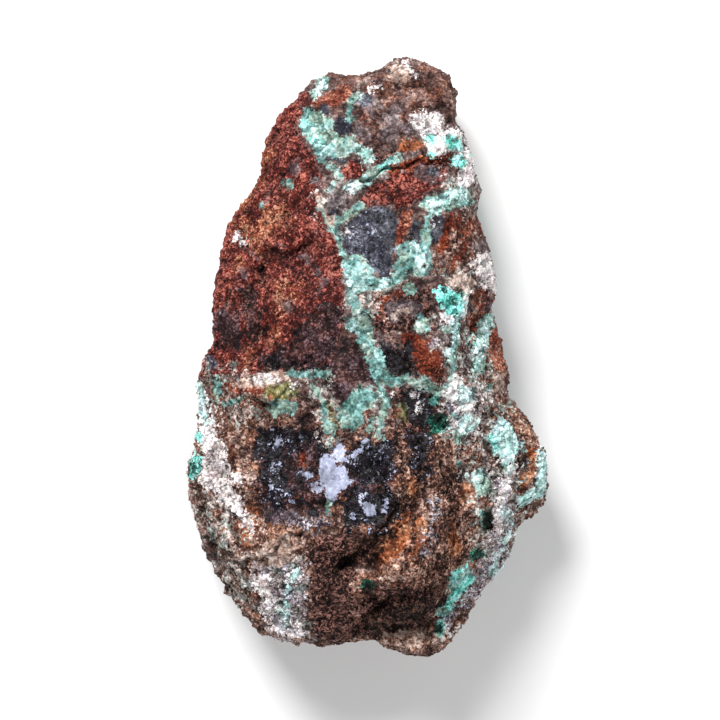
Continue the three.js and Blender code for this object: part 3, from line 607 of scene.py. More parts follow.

# Finish of each mineral, and of the painted shade and glints, over the plain rock, from the lowest to the
# one on top:
# edge is how far its edge strays in mm, by wide waves, by fine waves and from grain to grain
# soft is the width in mm over which it fades, and cover how much of the ground it hides
# share below 1 scatters it over its area: the lower, the fewer grains it takes
# grit is how much its smallest grains differ in tone, and streaks says whether its tone is drawn out
# calm is how much of the relief it smooths out, lift the height of its surface in mm
# stray is how far its outline wanders in pixels, and unseen how common it is on the other sides, -1 to 1
# colours go from its darkest to its lightest grains, and other gives those of the patches in it
PLAIN = dict(soft=0.3, cover=0.95, share=1.5, rough=0.85, grit=0.0, calm=0.0, lift=0.0, stray=2,
             streaks=False, other=None)
FINISHES = {
    "rust": dict(PLAIN, grit=0.34, edge=(1.0, 0.8, 1.0), cover=1.0, soft=0.6, unseen=0.1,
                 other=((32, 6, 6), (73, 23, 20), (100, 42, 37), (153, 92, 83)),
                 colours=((43, 8, 5), (89, 29, 23), (117, 50, 41), (174, 103, 89))),
    "light_rust": dict(PLAIN, grit=0.28, edge=(3.0, 1.0, 3.0), soft=1.2, unseen=-0.2, stray=4,
                       colours=((82, 29, 15), (124, 60, 40), (154, 92, 66), (204, 152, 126))),
    "brown": dict(PLAIN, grit=0.2, edge=(3.0, 1.2, 2.0), soft=1.2, unseen=0.0, stray=4,
                  other=((30, 16, 14), (84, 50, 38), (126, 80, 60), (182, 138, 116)),
                  colours=((40, 20, 18), (90, 62, 54), (128, 98, 88), (188, 166, 156))),
    "grey_brown": dict(PLAIN, grit=0.06, edge=(2.0, 1.0, 1.5), soft=0.8, unseen=-0.2, stray=4,
                       other=((38, 20, 17), (88, 52, 40), (124, 80, 64), (176, 132, 114)),
                       colours=((38, 22, 21), (86, 60, 55), (121, 92, 85), (172, 148, 140))),
    # Dark brown, partly painted shade on the downward facet and under the brow
    "umber": dict(PLAIN, grit=0.8, edge=(2.0, 1.0, 2.0), soft=1.0, unseen=-0.4, stray=4,
                  other=((14, 6, 6), (42, 21, 19), (70, 42, 38), (118, 84, 77)),
                  colours=((22, 10, 9), (58, 30, 25), (90, 53, 46), (146, 103, 93))),
    "wood": dict(PLAIN, grit=0.3, edge=(2.0, 1.0, 1.5), soft=1.0, unseen=-0.5, stray=4, streaks=True,
                 colours=((26, 14, 13), (80, 48, 40), (132, 92, 77), (200, 166, 150))),
    # Dark maroon rock, with painted shade in the step and the groove
    "maroon": dict(PLAIN, grit=0.2, edge=(2.2, 0.8, 1.5), soft=0.9, unseen=-0.25, stray=5, rough=0.75,
                   other=((16, 6, 6), (46, 20, 19), (72, 40, 37), (120, 88, 86)),
                   colours=((12, 5, 9), (36, 19, 23), (58, 38, 43), (108, 88, 96))),
    "red": dict(PLAIN, grit=0.2, edge=(0.8, 0.5, 0.8), unseen=-0.3, calm=0.2,
                colours=((66, 21, 13), (112, 49, 34), (140, 76, 56), (190, 134, 112))),
    "ember": dict(PLAIN, grit=0.2, edge=(1.0, 0.7, 1.0), unseen=-0.4, calm=0.1,
                  colours=((44, 8, 2), (84, 25, 9), (110, 41, 19), (156, 82, 53))),
    "orange": dict(PLAIN, grit=0.1, edge=(1.2, 0.8, 1.2), soft=0.5, unseen=-0.3, stray=2.5,
                   colours=((80, 32, 15), (138, 74, 44), (178, 114, 78), (222, 170, 136))),
    "tan": dict(PLAIN, grit=0.12, edge=(1.8, 1.0, 2.0), soft=0.6, cover=0.9, unseen=-0.2, stray=4,
                other=((56, 31, 23), (118, 80, 62), (166, 124, 102), (222, 190, 172)),
                colours=((62, 38, 32), (126, 94, 83), (182, 151, 138), (238, 218, 208))),
    "grey": dict(PLAIN, grit=0.3, edge=(2.0, 1.2, 2.0), soft=0.6, cover=0.9, unseen=-0.2, stray=3,
                 rough=0.75,
                 other=((90, 74, 73), (140, 126, 125), (178, 167, 167), (230, 223, 223)),
                 colours=((82, 72, 79), (135, 129, 139), (178, 175, 186), (230, 229, 242))),
    "slate": dict(PLAIN, edge=(0.8, 0.7, 1.0), soft=0.5, cover=0.66, unseen=-0.6, rough=0.7,
                  colours=((40, 33, 37), (76, 67, 71), (106, 97, 101), (158, 152, 157))),
    "violet": dict(PLAIN, grit=0.1, edge=(1.8, 1.0, 1.2), soft=0.7, cover=0.9, unseen=-0.4,
                   rough=0.6, calm=0.2, stray=5,
                   colours=((32, 22, 30), (68, 54, 62), (98, 84, 92), (150, 138, 148))),
    # Black oxide, and painted shade where it marks the cracks, the recess, the channel and the step
    "black": dict(PLAIN, grit=0.2, edge=(2.0, 1.0, 1.6), soft=0.4, unseen=-0.4, rough=0.45, calm=0.1,
                  lift=-0.1, stray=6,
                  other=((1, 1, 3), (7, 4, 9), (16, 11, 18), (50, 42, 54)),
                  colours=((0, 0, 2), (3, 2, 7), (8, 7, 15), (40, 38, 58))),
    # Painted shade under the overhangs and in the grooves and cracks
    "shade": dict(PLAIN, grit=0.5, edge=(2.0, 1.2, 2.5), soft=1.0, cover=0.9, unseen=-0.8, stray=4,
                  colours=((3, 1, 1), (14, 6, 5), (34, 19, 15), (96, 65, 55))),
    "dark": dict(PLAIN, grit=0.1, edge=(0.5, 0.4, 0.4), soft=0.2, unseen=-0.5, rough=0.45, calm=0.55,
                 lift=-0.05, stray=1.5,
                 colours=((22, 23, 33), (41, 42, 54), (61, 63, 75), (120, 126, 139))),
    # Pale specks, partly painted glints
    "frost_and_glints": dict(PLAIN, edge=(1.6, 1.8, 2.6), soft=0.3, cover=0.9, share=0.0, unseen=-0.9, rough=0.35,
                  stray=1,
                  colours=((84, 86, 110), (128, 132, 156), (178, 184, 208), (230, 234, 250))),
    "dust": dict(PLAIN, grit=0.15, edge=(3.0, 2.5, 3.0), soft=1.2, cover=0.8, share=0.46, unseen=-0.25,
                 rough=0.7, stray=5,
                 other=((112, 120, 114), (152, 164, 158), (192, 204, 200), (230, 238, 236)),
                 colours=((118, 98, 92), (160, 142, 134), (198, 184, 178), (234, 226, 222))),
    "olive": dict(PLAIN, edge=(1.2, 0.8, 1.0), soft=1.0, cover=0.62, unseen=-0.6, rough=0.6, calm=0.3,
                  lift=-0.1,
                  colours=((62, 58, 20), (104, 112, 50), (138, 148, 84), (178, 186, 136))),
    "mint": dict(PLAIN, edge=(0.5, 0.5, 0.6), soft=0.3, unseen=-0.2, rough=0.6, calm=0.3, lift=-0.1, stray=2,
                 other=((88, 110, 98), (132, 158, 144), (168, 192, 180), (216, 230, 222)),
                 colours=((60, 100, 92), (102, 152, 147), (134, 181, 178), (190, 222, 220))),
    "cream": dict(PLAIN, edge=(0.8, 0.7, 1.0), soft=0.5, cover=0.85, unseen=-0.5, rough=0.7,
                  colours=((112, 84, 72), (168, 140, 126), (206, 184, 172), (240, 226, 218))),
    "white": dict(PLAIN, grit=0.12, edge=(0.8, 0.8, 1.2), unseen=-0.35, rough=0.6, lift=0.12,
                  other=((172, 156, 150), (216, 208, 204), (236, 234, 232), (253, 253, 252)),
                  colours=((168, 150, 150), (216, 206, 207), (238, 232, 235), (254, 252, 254))),
    "ice": dict(PLAIN, edge=(1.1, 1.0, 1.6), soft=0.35, cover=0.92, unseen=-0.4, rough=0.5, lift=0.05,
                other=((120, 164, 156), (170, 214, 208), (204, 234, 231), (238, 250, 249)),
                colours=((140, 168, 168), (190, 220, 222), (219, 239, 242), (246, 253, 254))),
    "teal": dict(PLAIN, edge=(0.5, 0.5, 0.8), soft=0.25, unseen=-0.5, rough=0.4, lift=0.1,
                 other=((40, 128, 108), (96, 206, 190), (148, 238, 228), (212, 253, 249)),
                 colours=((62, 148, 138), (128, 220, 213), (176, 240, 236), (228, 253, 252))),
    # Dark green of the crystals in the pits, partly painted shade
    "emerald_and_shade": dict(PLAIN, edge=(0.5, 0.5, 0.4), unseen=-0.8, rough=0.4, lift=-0.1, stray=1.5,
                    colours=((2, 16, 12), (3, 42, 32), (10, 80, 63), (54, 144, 122))),
    "film": dict(PLAIN, edge=(0.5, 0.6, 0.4), soft=0.06, cover=1.0, unseen=-0.9, rough=0.35, calm=0.9,
                 lift=0.2, stray=1.5,
                 colours=((114, 116, 137), (144, 149, 171), (164, 169, 191), (196, 201, 221))),
    # Painted shade in the pits
    "hole": dict(PLAIN, edge=(0.3, 0.3, 0.2), cover=0.9, unseen=-0.9, lift=-0.3, stray=1,
                 colours=((3, 5, 5), (6, 10, 10), (10, 16, 16), (20, 26, 26))),
}
BASE_COLOURS = ((40, 22, 20), (88, 62, 56), (118, 94, 88), (172, 156, 150))
BASE_OTHER = ((36, 20, 20), (80, 60, 58), (112, 98, 96), (168, 160, 158))
BASE_ROUGHNESS = 0.85

# Grains and crystals that stand on the skin: their form, the minerals that they grow on, how many there are,
# their size in mm, their proportions with the last along their axis, how far their axes lean, how deep they
# are sunk in parts of their half size, and how uneven their corners are
LIMONITE = ("rust", "light_rust", "brown", "grey_brown", "umber", "wood", "maroon", "red", "ember", "orange",
            "tan")
GRAINS = {
    "limonite_grains": dict(form="lump", on=LIMONITE, count=9000, size=(0.25, 0.75),
                            proportions=(1, 1, 0.8), tilt=1.0, sunk=0.5, uneven=0.25),
    "oxide_grains": dict(form="lump", on=("black", "dark", "violet"), count=2500, size=(0.3, 0.8),
                         proportions=(1, 1, 0.8), tilt=1.0, sunk=0.4, uneven=0.2),
    "annabergite_crust": dict(form="ball", on=("mint", "olive"), count=2000, size=(0.3, 0.8),
                              proportions=(1, 1, 0.8), tilt=0.4, sunk=0.45, uneven=0.12),
    "carbonate_crystals": dict(form="rhomb", on=("white", "ice", "grey"), count=8000, size=(0.2, 0.6),
                               proportions=(0.8, 0.8, 1), tilt=0.8, sunk=0.3, uneven=0.1),
    "teal_crystals": dict(form="blade", on=("teal", "emerald_and_shade"), count=4000, size=(0.25, 0.6),
                          proportions=(0.5, 0.5, 1.2), tilt=0.6, sunk=0.2, uneven=0.08),
}
PROPORTION_SPREAD = (0.7, 1.3)
BLADE_EDGE = 0.15
RHOMB_LEAN = 0.3
LOWEST_GRAIN = 1.0 * MM
MIDDLE_TONE = -0.3
TONE_SPREAD = 0.06

# Patterns of the material: the sizes in mm of the cells, the sizes in mm and the detail of the noises,
# and how far the cells are warped in mm
CELLS = dict(grain=0.65, speck=0.28)
PATTERNS = dict(pick=(0.5, 2.0), cloud=(3.5, 6.0), fine=(0.4, 3.0), patch=(2.4, 4.0), streak=(0.8, 4.0),
                wide_edge=(2.2, 3.0), fine_edge=(0.6, 3.0))
PATTERN_ROUGHNESS = 0.6
WARP_SIZE = 1.2
WARP_DETAIL = 2.0
WARP_REACH = 0.6

# Tone of the material: how much each pattern adds, the reach over which colours are spread, where patches
# start and end, the tone of streaks as a start and the shares of streak and tone, and the gain of the edges
TONE_PARTS = dict(grain=0.18, speck=0.16, cloud=0.9, fine=0.35)
TONE_REACH = (0.3, 0.72)
PATCH_STEP = (0.44, 0.58)
STREAK_TONE = (-0.3, 1.0, 0.6)
EDGE_GAIN = 4

# Painted shade in the hollows and painted light on the ridges: their depth and height in mm, and the
# brightness at each
HOLLOW_SHADES = {"hollow_small": (0.1, -0.08, (0.55, 1.12)), "hollow_large": (0.6, -0.3, (0.6, 1.1))}

# Bump of the material: shares of the grains, the specks and the fine noise, its strength and its height
BUMP_PARTS = (-0.5, -0.3, 1.0)
BUMP_STRENGTH = 0.6
BUMP_HEIGHT = 0.15 * MM
SPECULAR = 0.2

# Cracks and undercuts on the upper face: depth in mm and where they run
CRACKS = {
    "under the tip bed": (0.9, vein(6, (364, 185), (388, 170), (410, 164), (447, 161))),
    "rust ledge": (0.4, vein(7, (312, 243), (297, 249), (284, 256))),
    "rust groove": (1.0, vein(10, (262, 268), (254, 286), (249, 298), (257, 314), (257, 338))),
    "rust step": (0.5, vein(9, (345, 332), (331, 352), (300, 363), (262, 373))),
    "lower groove": (1.5, vein(14, (398, 508), (386, 528), (374, 548), (356, 560), (340, 564))),
    "wave left": (0.6, vein(5, (400, 442), (404, 480), (400, 508))),
    "wave right": (0.6, vein(6, (446, 512), (447, 540), (436, 586))),
    "channel": (0.7, vein(8, (412, 430), (420, 450), (422, 470))),
    "wave crack": (0.7, vein(5, (444, 468), (446, 490), (451, 514))),
    "lobe crack": (1.2, vein(5, (524, 460), (518, 474), (514, 490))),
    "brow": (2.0, vein(16, (356, 632), (372, 612), (396, 602), (424, 596), (452, 578))),
    "edge of the big clast": (0.4, vein(3, (343, 246), (341, 228), (360, 211), (393, 205))),
    "left slope": (0.6, vein(5, (226, 404), (236, 440), (242, 480), (244, 512))),
    "lobe root": (0.8, vein(6, (486, 426), (489, 446), (491, 462), (486, 486))),
}


def smoothstep(low, high, value):
    """0 below low, 1 above high, smooth between."""
    share = np.clip((value - low) / (high - low), 0, 1)
    return share * share * (3 - 2 * share)


def noise_at(points, size, offset):
    """Soft noise of that feature size in metres, about -1 to 1, at each point."""
    scaled = points / size + offset
    return np.array([noise.noise(p) for p in scaled.tolist()])


def fractal_at(points, size, offset, layers=3):
    """Noise with finer layers added, about -1 to 1, at each point."""
    scaled = points / size + offset
    return np.array([noise.fractal(p, FRACTAL_FADE, FRACTAL_STEP, layers) for p in scaled.tolist()])


def shifts_at(kind, points, size, start):
    """Two noises of a kind at each point, for shifts across and down the photograph."""
    return np.stack([kind(points, size, start * k) for k in (1, 2)], 1)


def cells_at(points, size, offset):
    """Distance to the nearest of scattered centres, in parts of size, at each point."""
    scaled = points / size + offset
    return np.array([noise.voronoi(p)[0][0] for p in scaled.tolist()])


def hashed(values, seed):
    """A number from -1 to 1 for each row, the same for equal rows."""
    mixed = np.sin(values @ HASH_WEIGHTS + seed) * HASH_SCALE
    return 2 * (mixed - np.floor(mixed)) - 1


def chips_at(points, size, offset):
    """Height of flat chips of that size, each tilted and sunk by its own amount, about -1 to 1."""
    axes = (1, 2, 3)
    bend = np.stack([noise_at(points, size * CHIP_BEND_SIZE, offset + STARTS["bend"] * k) for k in axes], 1)
    scaled = points / size + offset + CHIP_BEND * bend
    middles = np.array([noise.voronoi(p)[1][0][:] for p in scaled.tolist()])
    tilts = np.stack([hashed(middles, STARTS["tilt"] * k) for k in axes], 1)
    return ((scaled - middles) * tilts).sum(1) + CHIP_SINK * hashed(middles, STARTS["sink"])


def pixels_of(points):
    """Photograph pixels that show the points."""
    focal = FRAME_PIXELS * LENS / SENSOR
    depth = CAMERA_PLACE[2] - points[:, 2]
    across = FRAME_PIXELS / 2 + focal * (points[:, 0] - CAMERA_PLACE[0]) / depth
    down = FRAME_PIXELS / 2 - focal * (points[:, 1] - CAMERA_PLACE[1]) / depth
    return np.stack([across, down], 1)


def line_distance(places, start, end):
    """Distance from each place to the line between two points."""
    along = end - start
    share = np.clip(((places - start) @ along) / max(along @ along, 1e-9), 0, 1)
    return np.linalg.norm(places - start - share[:, None] * along, axis=1)


def inside(places, corners):
    """True for each place inside the closed outline."""
    found = np.zeros(len(places), bool)
    x, y = places[:, 0], places[:, 1]
    for a, b in zip(corners, np.roll(corners, -1, 0)):
        if a[1] == b[1]:
            continue
        crosses = (a[1] > y) != (b[1] > y)
        found ^= crosses & (x < (b[0] - a[0]) * (y - a[1]) / (b[1] - a[1]) + a[0])
    return found


def mark_distance(mark, places):
    """Signed distance in pixels from each place to a mark, below 0 inside it."""
    kind = mark[0]
    if kind == "spot":
        _, x, y, across, down = mark
        reach = np.hypot((places[:, 0] - x) / across, (places[:, 1] - y) / down)
        return (reach - 1) * min(across, down)
    points = mark[-1]
    ends = points[1:]
    starts = points[:-1]
    if kind == "area":
        ends = np.roll(points, -1, 0)
        starts = points
    nearest = np.full(len(places), np.inf)
    for start, end in zip(starts, ends):
        nearest = np.minimum(nearest, line_distance(places, start, end))
    if kind == "vein":
        return nearest - mark[1]
    return np.where(inside(places, points), -nearest, nearest)


def mark_box(mark):
    """Lowest and highest pixel of a mark."""
    if mark[0] == "spot":
        _, x, y, across, down = mark
        return np.array([x - across, y - down]), np.array([x + across, y + down])
    return mark[-1].min(0), mark[-1].max(0)


def mineral_distances(points, upright):
    """Signed distance in mm from each point to each mineral's area, and to each area of painted shade and
    glints, below 0 inside it.

    The outlines wander more where the surface is steep, by how much its normal points up.
    """
    wander = shifts_at(noise_at, points, WANDER_SIZE, STARTS["wander"])
    ragged = shifts_at(fractal_at, points, RAGGED_SIZE, STARTS["ragged"])
    ragged *= 1 + STEEP_STRAY * smoothstep(*STEEP, upright)[:, None]
    drop = np.clip(SEEN_HEIGHT - points[:, 2], 0, None) / MM
    seen_at = pixels_of(points) + wander * drop[:, None] * WANDER_PER_MM
    hidden = smoothstep(0, HIDDEN_DROP, drop)
    reach = FAR * PIXELS_PER_MM
    found = {}
    for number, (name, marks) in enumerate(MARKS.items()):
        finish = FINISHES[name]
        nearest = np.full(len(points), reach)
        places = seen_at + ragged * finish["stray"]
        for mark in marks.values():
            low, high = mark_box(mark)
            near = np.all((places > low - reach) & (places < high + reach), axis=1)
            nearest[near] = np.minimum(nearest[near], mark_distance(mark, places[near]))
        chance = fractal_at(points, UNSEEN_SIZE, STARTS["unseen"] * number + STARTS["first_unseen"])
        elsewhere = (-finish["unseen"] - chance) * FAR
        shown = nearest / PIXELS_PER_MM
        found[name] = shown + (np.clip(elsewhere, -FAR, FAR) - shown) * hidden
        if finish["share"] < 1:
            fullest = (0.5 - finish["share"]) * finish["edge"][2]
            found[name] = np.maximum(found[name], fullest)
    return found


def trimmed(points):
    """The points with those drawn in that would show outside the outline."""
    away = mark_distance(OUTLINE, pixels_of(points)) / PIXELS_PER_MM * MM
    near = np.nonzero(away > -TRIM_BAND)[0]
    places = pixels_of(points[near])
    ahead = [mark_distance(OUTLINE, places + step) for step in np.eye(2)]
    behind = [mark_distance(OUTLINE, places - step) for step in np.eye(2)]
    outward = np.stack(ahead, 1) - np.stack(behind, 1)
    outward /= np.maximum(np.linalg.norm(outward, axis=1), 1e-6)[:, None]
    wanted = -TRIM_BAND * np.exp(-(away[near] + TRIM_BAND) / TRIM_BAND)
    ragged = TRIM_MIDDLE + fractal_at(points[near], TRIM_SIZE, STARTS["trim"])
    wanted -= TRIM_STRAY * ragged * smoothstep(-TRIM_BAND, 0, away[near])
    shift = (away[near] - wanted)[:, None] * outward
    kept = points.copy()
    kept[near, 0] -= shift[:, 0]
    kept[near, 1] += shift[:, 1]
    return kept


def edge_list(mesh):
    """Vertex pairs of the mesh's edges."""
    pairs = np.zeros(len(mesh.edges) * 2, np.int32)
    mesh.edges.foreach_get("vertices", pairs)
    return pairs.reshape(-1, 2)


def vertex_array(mesh, kind="co"):
    """Places or normals of the mesh's vertices."""
    source = mesh.vertices if kind == "co" else mesh.vertex_normals
    values = np.zeros(len(mesh.vertices) * 3, np.float32)
    source.foreach_get("co" if kind == "co" else "vector", values)
    return values.reshape(-1, 3).astype(float)


def set_points(mesh, points):
    """Moves the mesh's vertices to the points."""
    mesh.vertices.foreach_set("co", points.astype(np.float32).ravel())
    mesh.update()


def averaged(points, pairs, rounds, steps=EVEN_STEPS):
    """Points after each has moved towards the middle of its neighbours, by each step, several times."""
    count = len(points)
    degree = np.bincount(pairs.ravel(), minlength=count)[:, None]
    ends = np.concatenate([pairs[:, 0], pairs[:, 1]])
    others = np.concatenate([pairs[:, 1], pairs[:, 0]])
    for _ in range(rounds):
        for step in steps:
            total = np.stack([np.bincount(ends, points[others, k], count) for k in range(3)], 1)
            points = points + step * (total / degree - points)
    return points


def modified(mesh, **modifiers):
    """The mesh after the modifiers, each given by its kind and its settings."""
    holder = bpy.data.objects.new("skin_maker", mesh)
    bpy.context.scene.collection.objects.link(holder)
    for kind, settings in modifiers.items():
        modifier = holder.modifiers.new(kind, kind)
        for key, value in settings.items():
            setattr(modifier, key, value)
    view = bpy.context.evaluated_depsgraph_get()
    result = bpy.data.meshes.new_from_object(holder.evaluated_get(view))
    bpy.data.objects.remove(holder)
    return result


def stone_mesh():
    """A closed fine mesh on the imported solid, with its facets softened."""
    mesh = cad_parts[NODE].data.copy()
    weld = bmesh.new()
    weld.from_mesh(mesh)
    bmesh.ops.remove_doubles(weld, verts=weld.verts, dist=WELD_REACH)
    weld.to_mesh(mesh)
    weld.free()
    fine = modified(mesh, REMESH=dict(mode="VOXEL", voxel_size=VOXEL))
    softened = averaged(vertex_array(fine), edge_list(fine), SOFTEN_ROUNDS, SOFTEN_STEPS)
    set_points(fine, trimmed(softened))
    return fine


def relief(points, distances):
    """Height in mm of the small relief at each point: chips, grains, cracks and each mineral's own level."""
    height = np.zeros(len(points))
    for size, amount in CHIPS:
        height += amount * chips_at(points, size * MM, size)
    for size, amount in BUMPS:
        height += amount * fractal_at(points, size * MM, STARTS["bump"] * size)
    grain = cells_at(points, GRAIN_SIZE * MM, STARTS["grain"])
    height += GRAIN_HEIGHT * (GRAIN_MIDDLE - grain)
    rough = np.ones(len(points))
    level = np.zeros(len(points))
    breakup = BREAKUP * fractal_at(points, BREAKUP_SIZE * MM, STARTS["breakup"], layers=2)
    for name, finish in FINISHES.items():
        cover = smoothstep(LEVEL_EDGE, -LEVEL_EDGE, distances[name] + breakup)
        rough *= 1 - cover * finish["calm"]
        level += (finish["lift"] - level) * cover
    streaks = fractal_at(points * STREAK_STRETCH, MM, STARTS["streak"], layers=2)
    height += STREAK_RELIEF * streaks * smoothstep(STREAK_EDGE, -STREAK_EDGE, distances["wood"])
    return height * rough + level - crack_depth(points)


def crack_depth(points):
    """Depth in mm of the cracks at each point."""
    places = pixels_of(points) + shifts_at(fractal_at, points, CRACK_SIZE, STARTS["crack"]) * CRACK_STRAY
    deepest = np.zeros(len(points))
    for depth, mark in CRACKS.values():
        half = mark[1]
        away = mark_distance(mark, places) / half
        deepest = np.maximum(deepest, depth * smoothstep(0, -1, away))
    return deepest * smoothstep(*CRACK_HEIGHTS, points[:, 2])


def skin_mesh():
    """The stone's skin with its small relief, thinned out where it is flat."""
    mesh = stone_mesh()
    points = vertex_array(mesh)
    normals = vertex_array(mesh, "normal")
    upright = averaged(normals, edge_list(mesh), EVEN_ROUNDS)[:, 2]
    height = relief(points, mineral_distances(points, upright))
    foot = smoothstep(0, FLAT_FOOT, points[:, 2] - BOX_LOW[2])
    moved = points + normals * (height * MM * foot)[:, None]
    set_points(mesh, np.clip(trimmed(moved), BOX_LOW, BOX_HIGH))
    share_kept = SKIN_TRIANGLES / (2 * len(mesh.polygons))
    skin = modified(mesh, TRIANGULATE=dict(min_vertices=4), DECIMATE=dict(ratio=share_kept))
    set_points(skin, np.clip(vertex_array(skin), BOX_LOW, BOX_HIGH))
    skin.shade_smooth()
    return skin


def surface_values(mesh):
    """For each vertex its distance to each mineral, its tone, and how deep it lies in hollows."""
    points = vertex_array(mesh)
    pairs = edge_list(mesh)
    normals = vertex_array(mesh, "normal")
    values = mineral_distances(points, averaged(normals, pairs, EVEN_ROUNDS)[:, 2])
    values["tone"] = np.full(len(points), MIDDLE_TONE)
    for name, rounds in HOLLOWS.items():
        values[name] = ((averaged(points, pairs, rounds) - points) * normals).sum(1) / MM
    return values


def store(mesh, values):
    """Keeps the values on the mesh, where the material reads them."""
    for name, value in values.items():
        layer = mesh.attributes.new(name, "FLOAT", "POINT")
        layer.data.foreach_set("value", value.astype(np.float32))


def top_mineral(values):
    """Number of the topmost mineral at each vertex, -1 where the plain rock shows."""
    top = np.full(len(values["tone"]), -1)
    for number, (name, finish) in enumerate(FINISHES.items()):
        if finish["share"] >= 1:
            top[values[name] < 0] = number
    return top


def unit_form(kind):
    """Corners and triangles of one crystal or grain, about 1 across each way from its middle."""
    shape = bmesh.new()
    if kind == "ball":
        bmesh.ops.create_icosphere(shape, subdivisions=2, radius=1.0)
    elif kind == "lump":
        bmesh.ops.create_icosphere(shape, subdivisions=1, radius=1.0)
    else:
        bmesh.ops.create_cube(shape, size=2.0)
        for corner in shape.verts:
            if kind == "blade" and corner.co.z > 0:
                corner.co.y *= BLADE_EDGE
            if kind == "rhomb":
                corner.co.x += RHOMB_LEAN * corner.co.z
                corner.co.y += RHOMB_LEAN * corner.co.z
        bmesh.ops.triangulate(shape, faces=shape.faces)
    shape.verts.ensure_lookup_table()
    corners = np.array([v.co[:] for v in shape.verts])
    faces = np.array([[v.index for v in f.verts] for f in shape.faces])
    shape.free()
    return corners, faces


def frames_along(axes, random):
    """Three unit directions for each axis, the last along it and the others turned at random about it."""
    axes = axes / np.linalg.norm(axes, axis=1)[:, None]
    first = np.cross(axes, random.normal(size=axes.shape))
    first /= np.linalg.norm(first, axis=1)[:, None]
    return np.stack([first, np.cross(axes, first), axes], 1)


def mesh_from(name, points, faces, smooth):
    """A mesh from arrays of points and triangles."""
    mesh = bpy.data.meshes.new(name)
    mesh.vertices.add(len(points))
    mesh.vertices.foreach_set("co", points.astype(np.float32).ravel())
    mesh.loops.add(faces.size)
    mesh.loops.foreach_set("vertex_index", faces.astype(np.int32).ravel())
    mesh.polygons.add(len(faces))
    mesh.polygons.foreach_set("loop_start", np.arange(0, faces.size, 3, dtype=np.int32))
    mesh.update(calc_edges=True)
    if smooth:
        mesh.shade_smooth()
    else:
        mesh.shade_flat()
    return mesh


def grain_mesh(name, skin, values, form, on, count, size, proportions, tilt, sunk, uneven):
    """Many crystals or grains in one mesh, set into the skin where their minerals are on top."""
    random = np.random.default_rng(sum(map(ord, name)))
    points = vertex_array(skin)
    normals = vertex_array(skin, "normal")
    wanted = [number for number, mineral in enumerate(FINISHES) if mineral in on]
    fits = np.isin(top_mineral(values), wanted) & (points[:, 2] > LOWEST_GRAIN)
    places = np.nonzero(fits)[0]
    places = random.choice(places, min(count, len(places)), replace=False)
    half = random.uniform(*size, len(places)) * MM / 2
    axes = normals[places] + tilt * random.normal(size=(len(places), 3))
    corners, faces = unit_form(form)
    scale = np.array(proportions) * random.uniform(*PROPORTION_SPREAD, (len(places), 3))
    own = corners * scale[:, None, :] * half[:, None, None]
    own *= random.uniform(1 - uneven, 1 + uneven, (len(places), len(corners), 1))
    turned = np.einsum("gnk,gkx->gnx", own, frames_along(axes, random))
    middles = points[places] - normals[places] * (half * sunk)[:, None]
    grains = middles[:, None, :] + turned
    kept = np.all((grains > BOX_LOW) & (grains < BOX_HIGH), axis=(1, 2))
    grains = grains[kept]
    chosen = places[kept]
    steps = np.arange(len(chosen))[:, None, None] * len(corners)
    mesh = mesh_from(name, grains.reshape(-1, 3), (faces + steps).reshape(-1, 3), form == "ball")
    # Each grain takes the values of the skin where it sits, and with them the painted shade of the hollows
    own_values = {key: np.repeat(value[chosen], len(corners)) for key, value in values.items()}
    own_values["tone"] = np.repeat(MIDDLE_TONE + random.normal(0, TONE_SPREAD, len(chosen)), len(corners))
    store(mesh, own_values)
    return mesh


def linear(colour):
    """Scene colour of a colour given in 0 to 255 screen values."""
    shares = [c / 255 for c in colour]
    return [s / 12.92 if s <= 0.04045 else ((s + 0.055) / 1.055) ** 2.4 for s in shares] + [1.0]


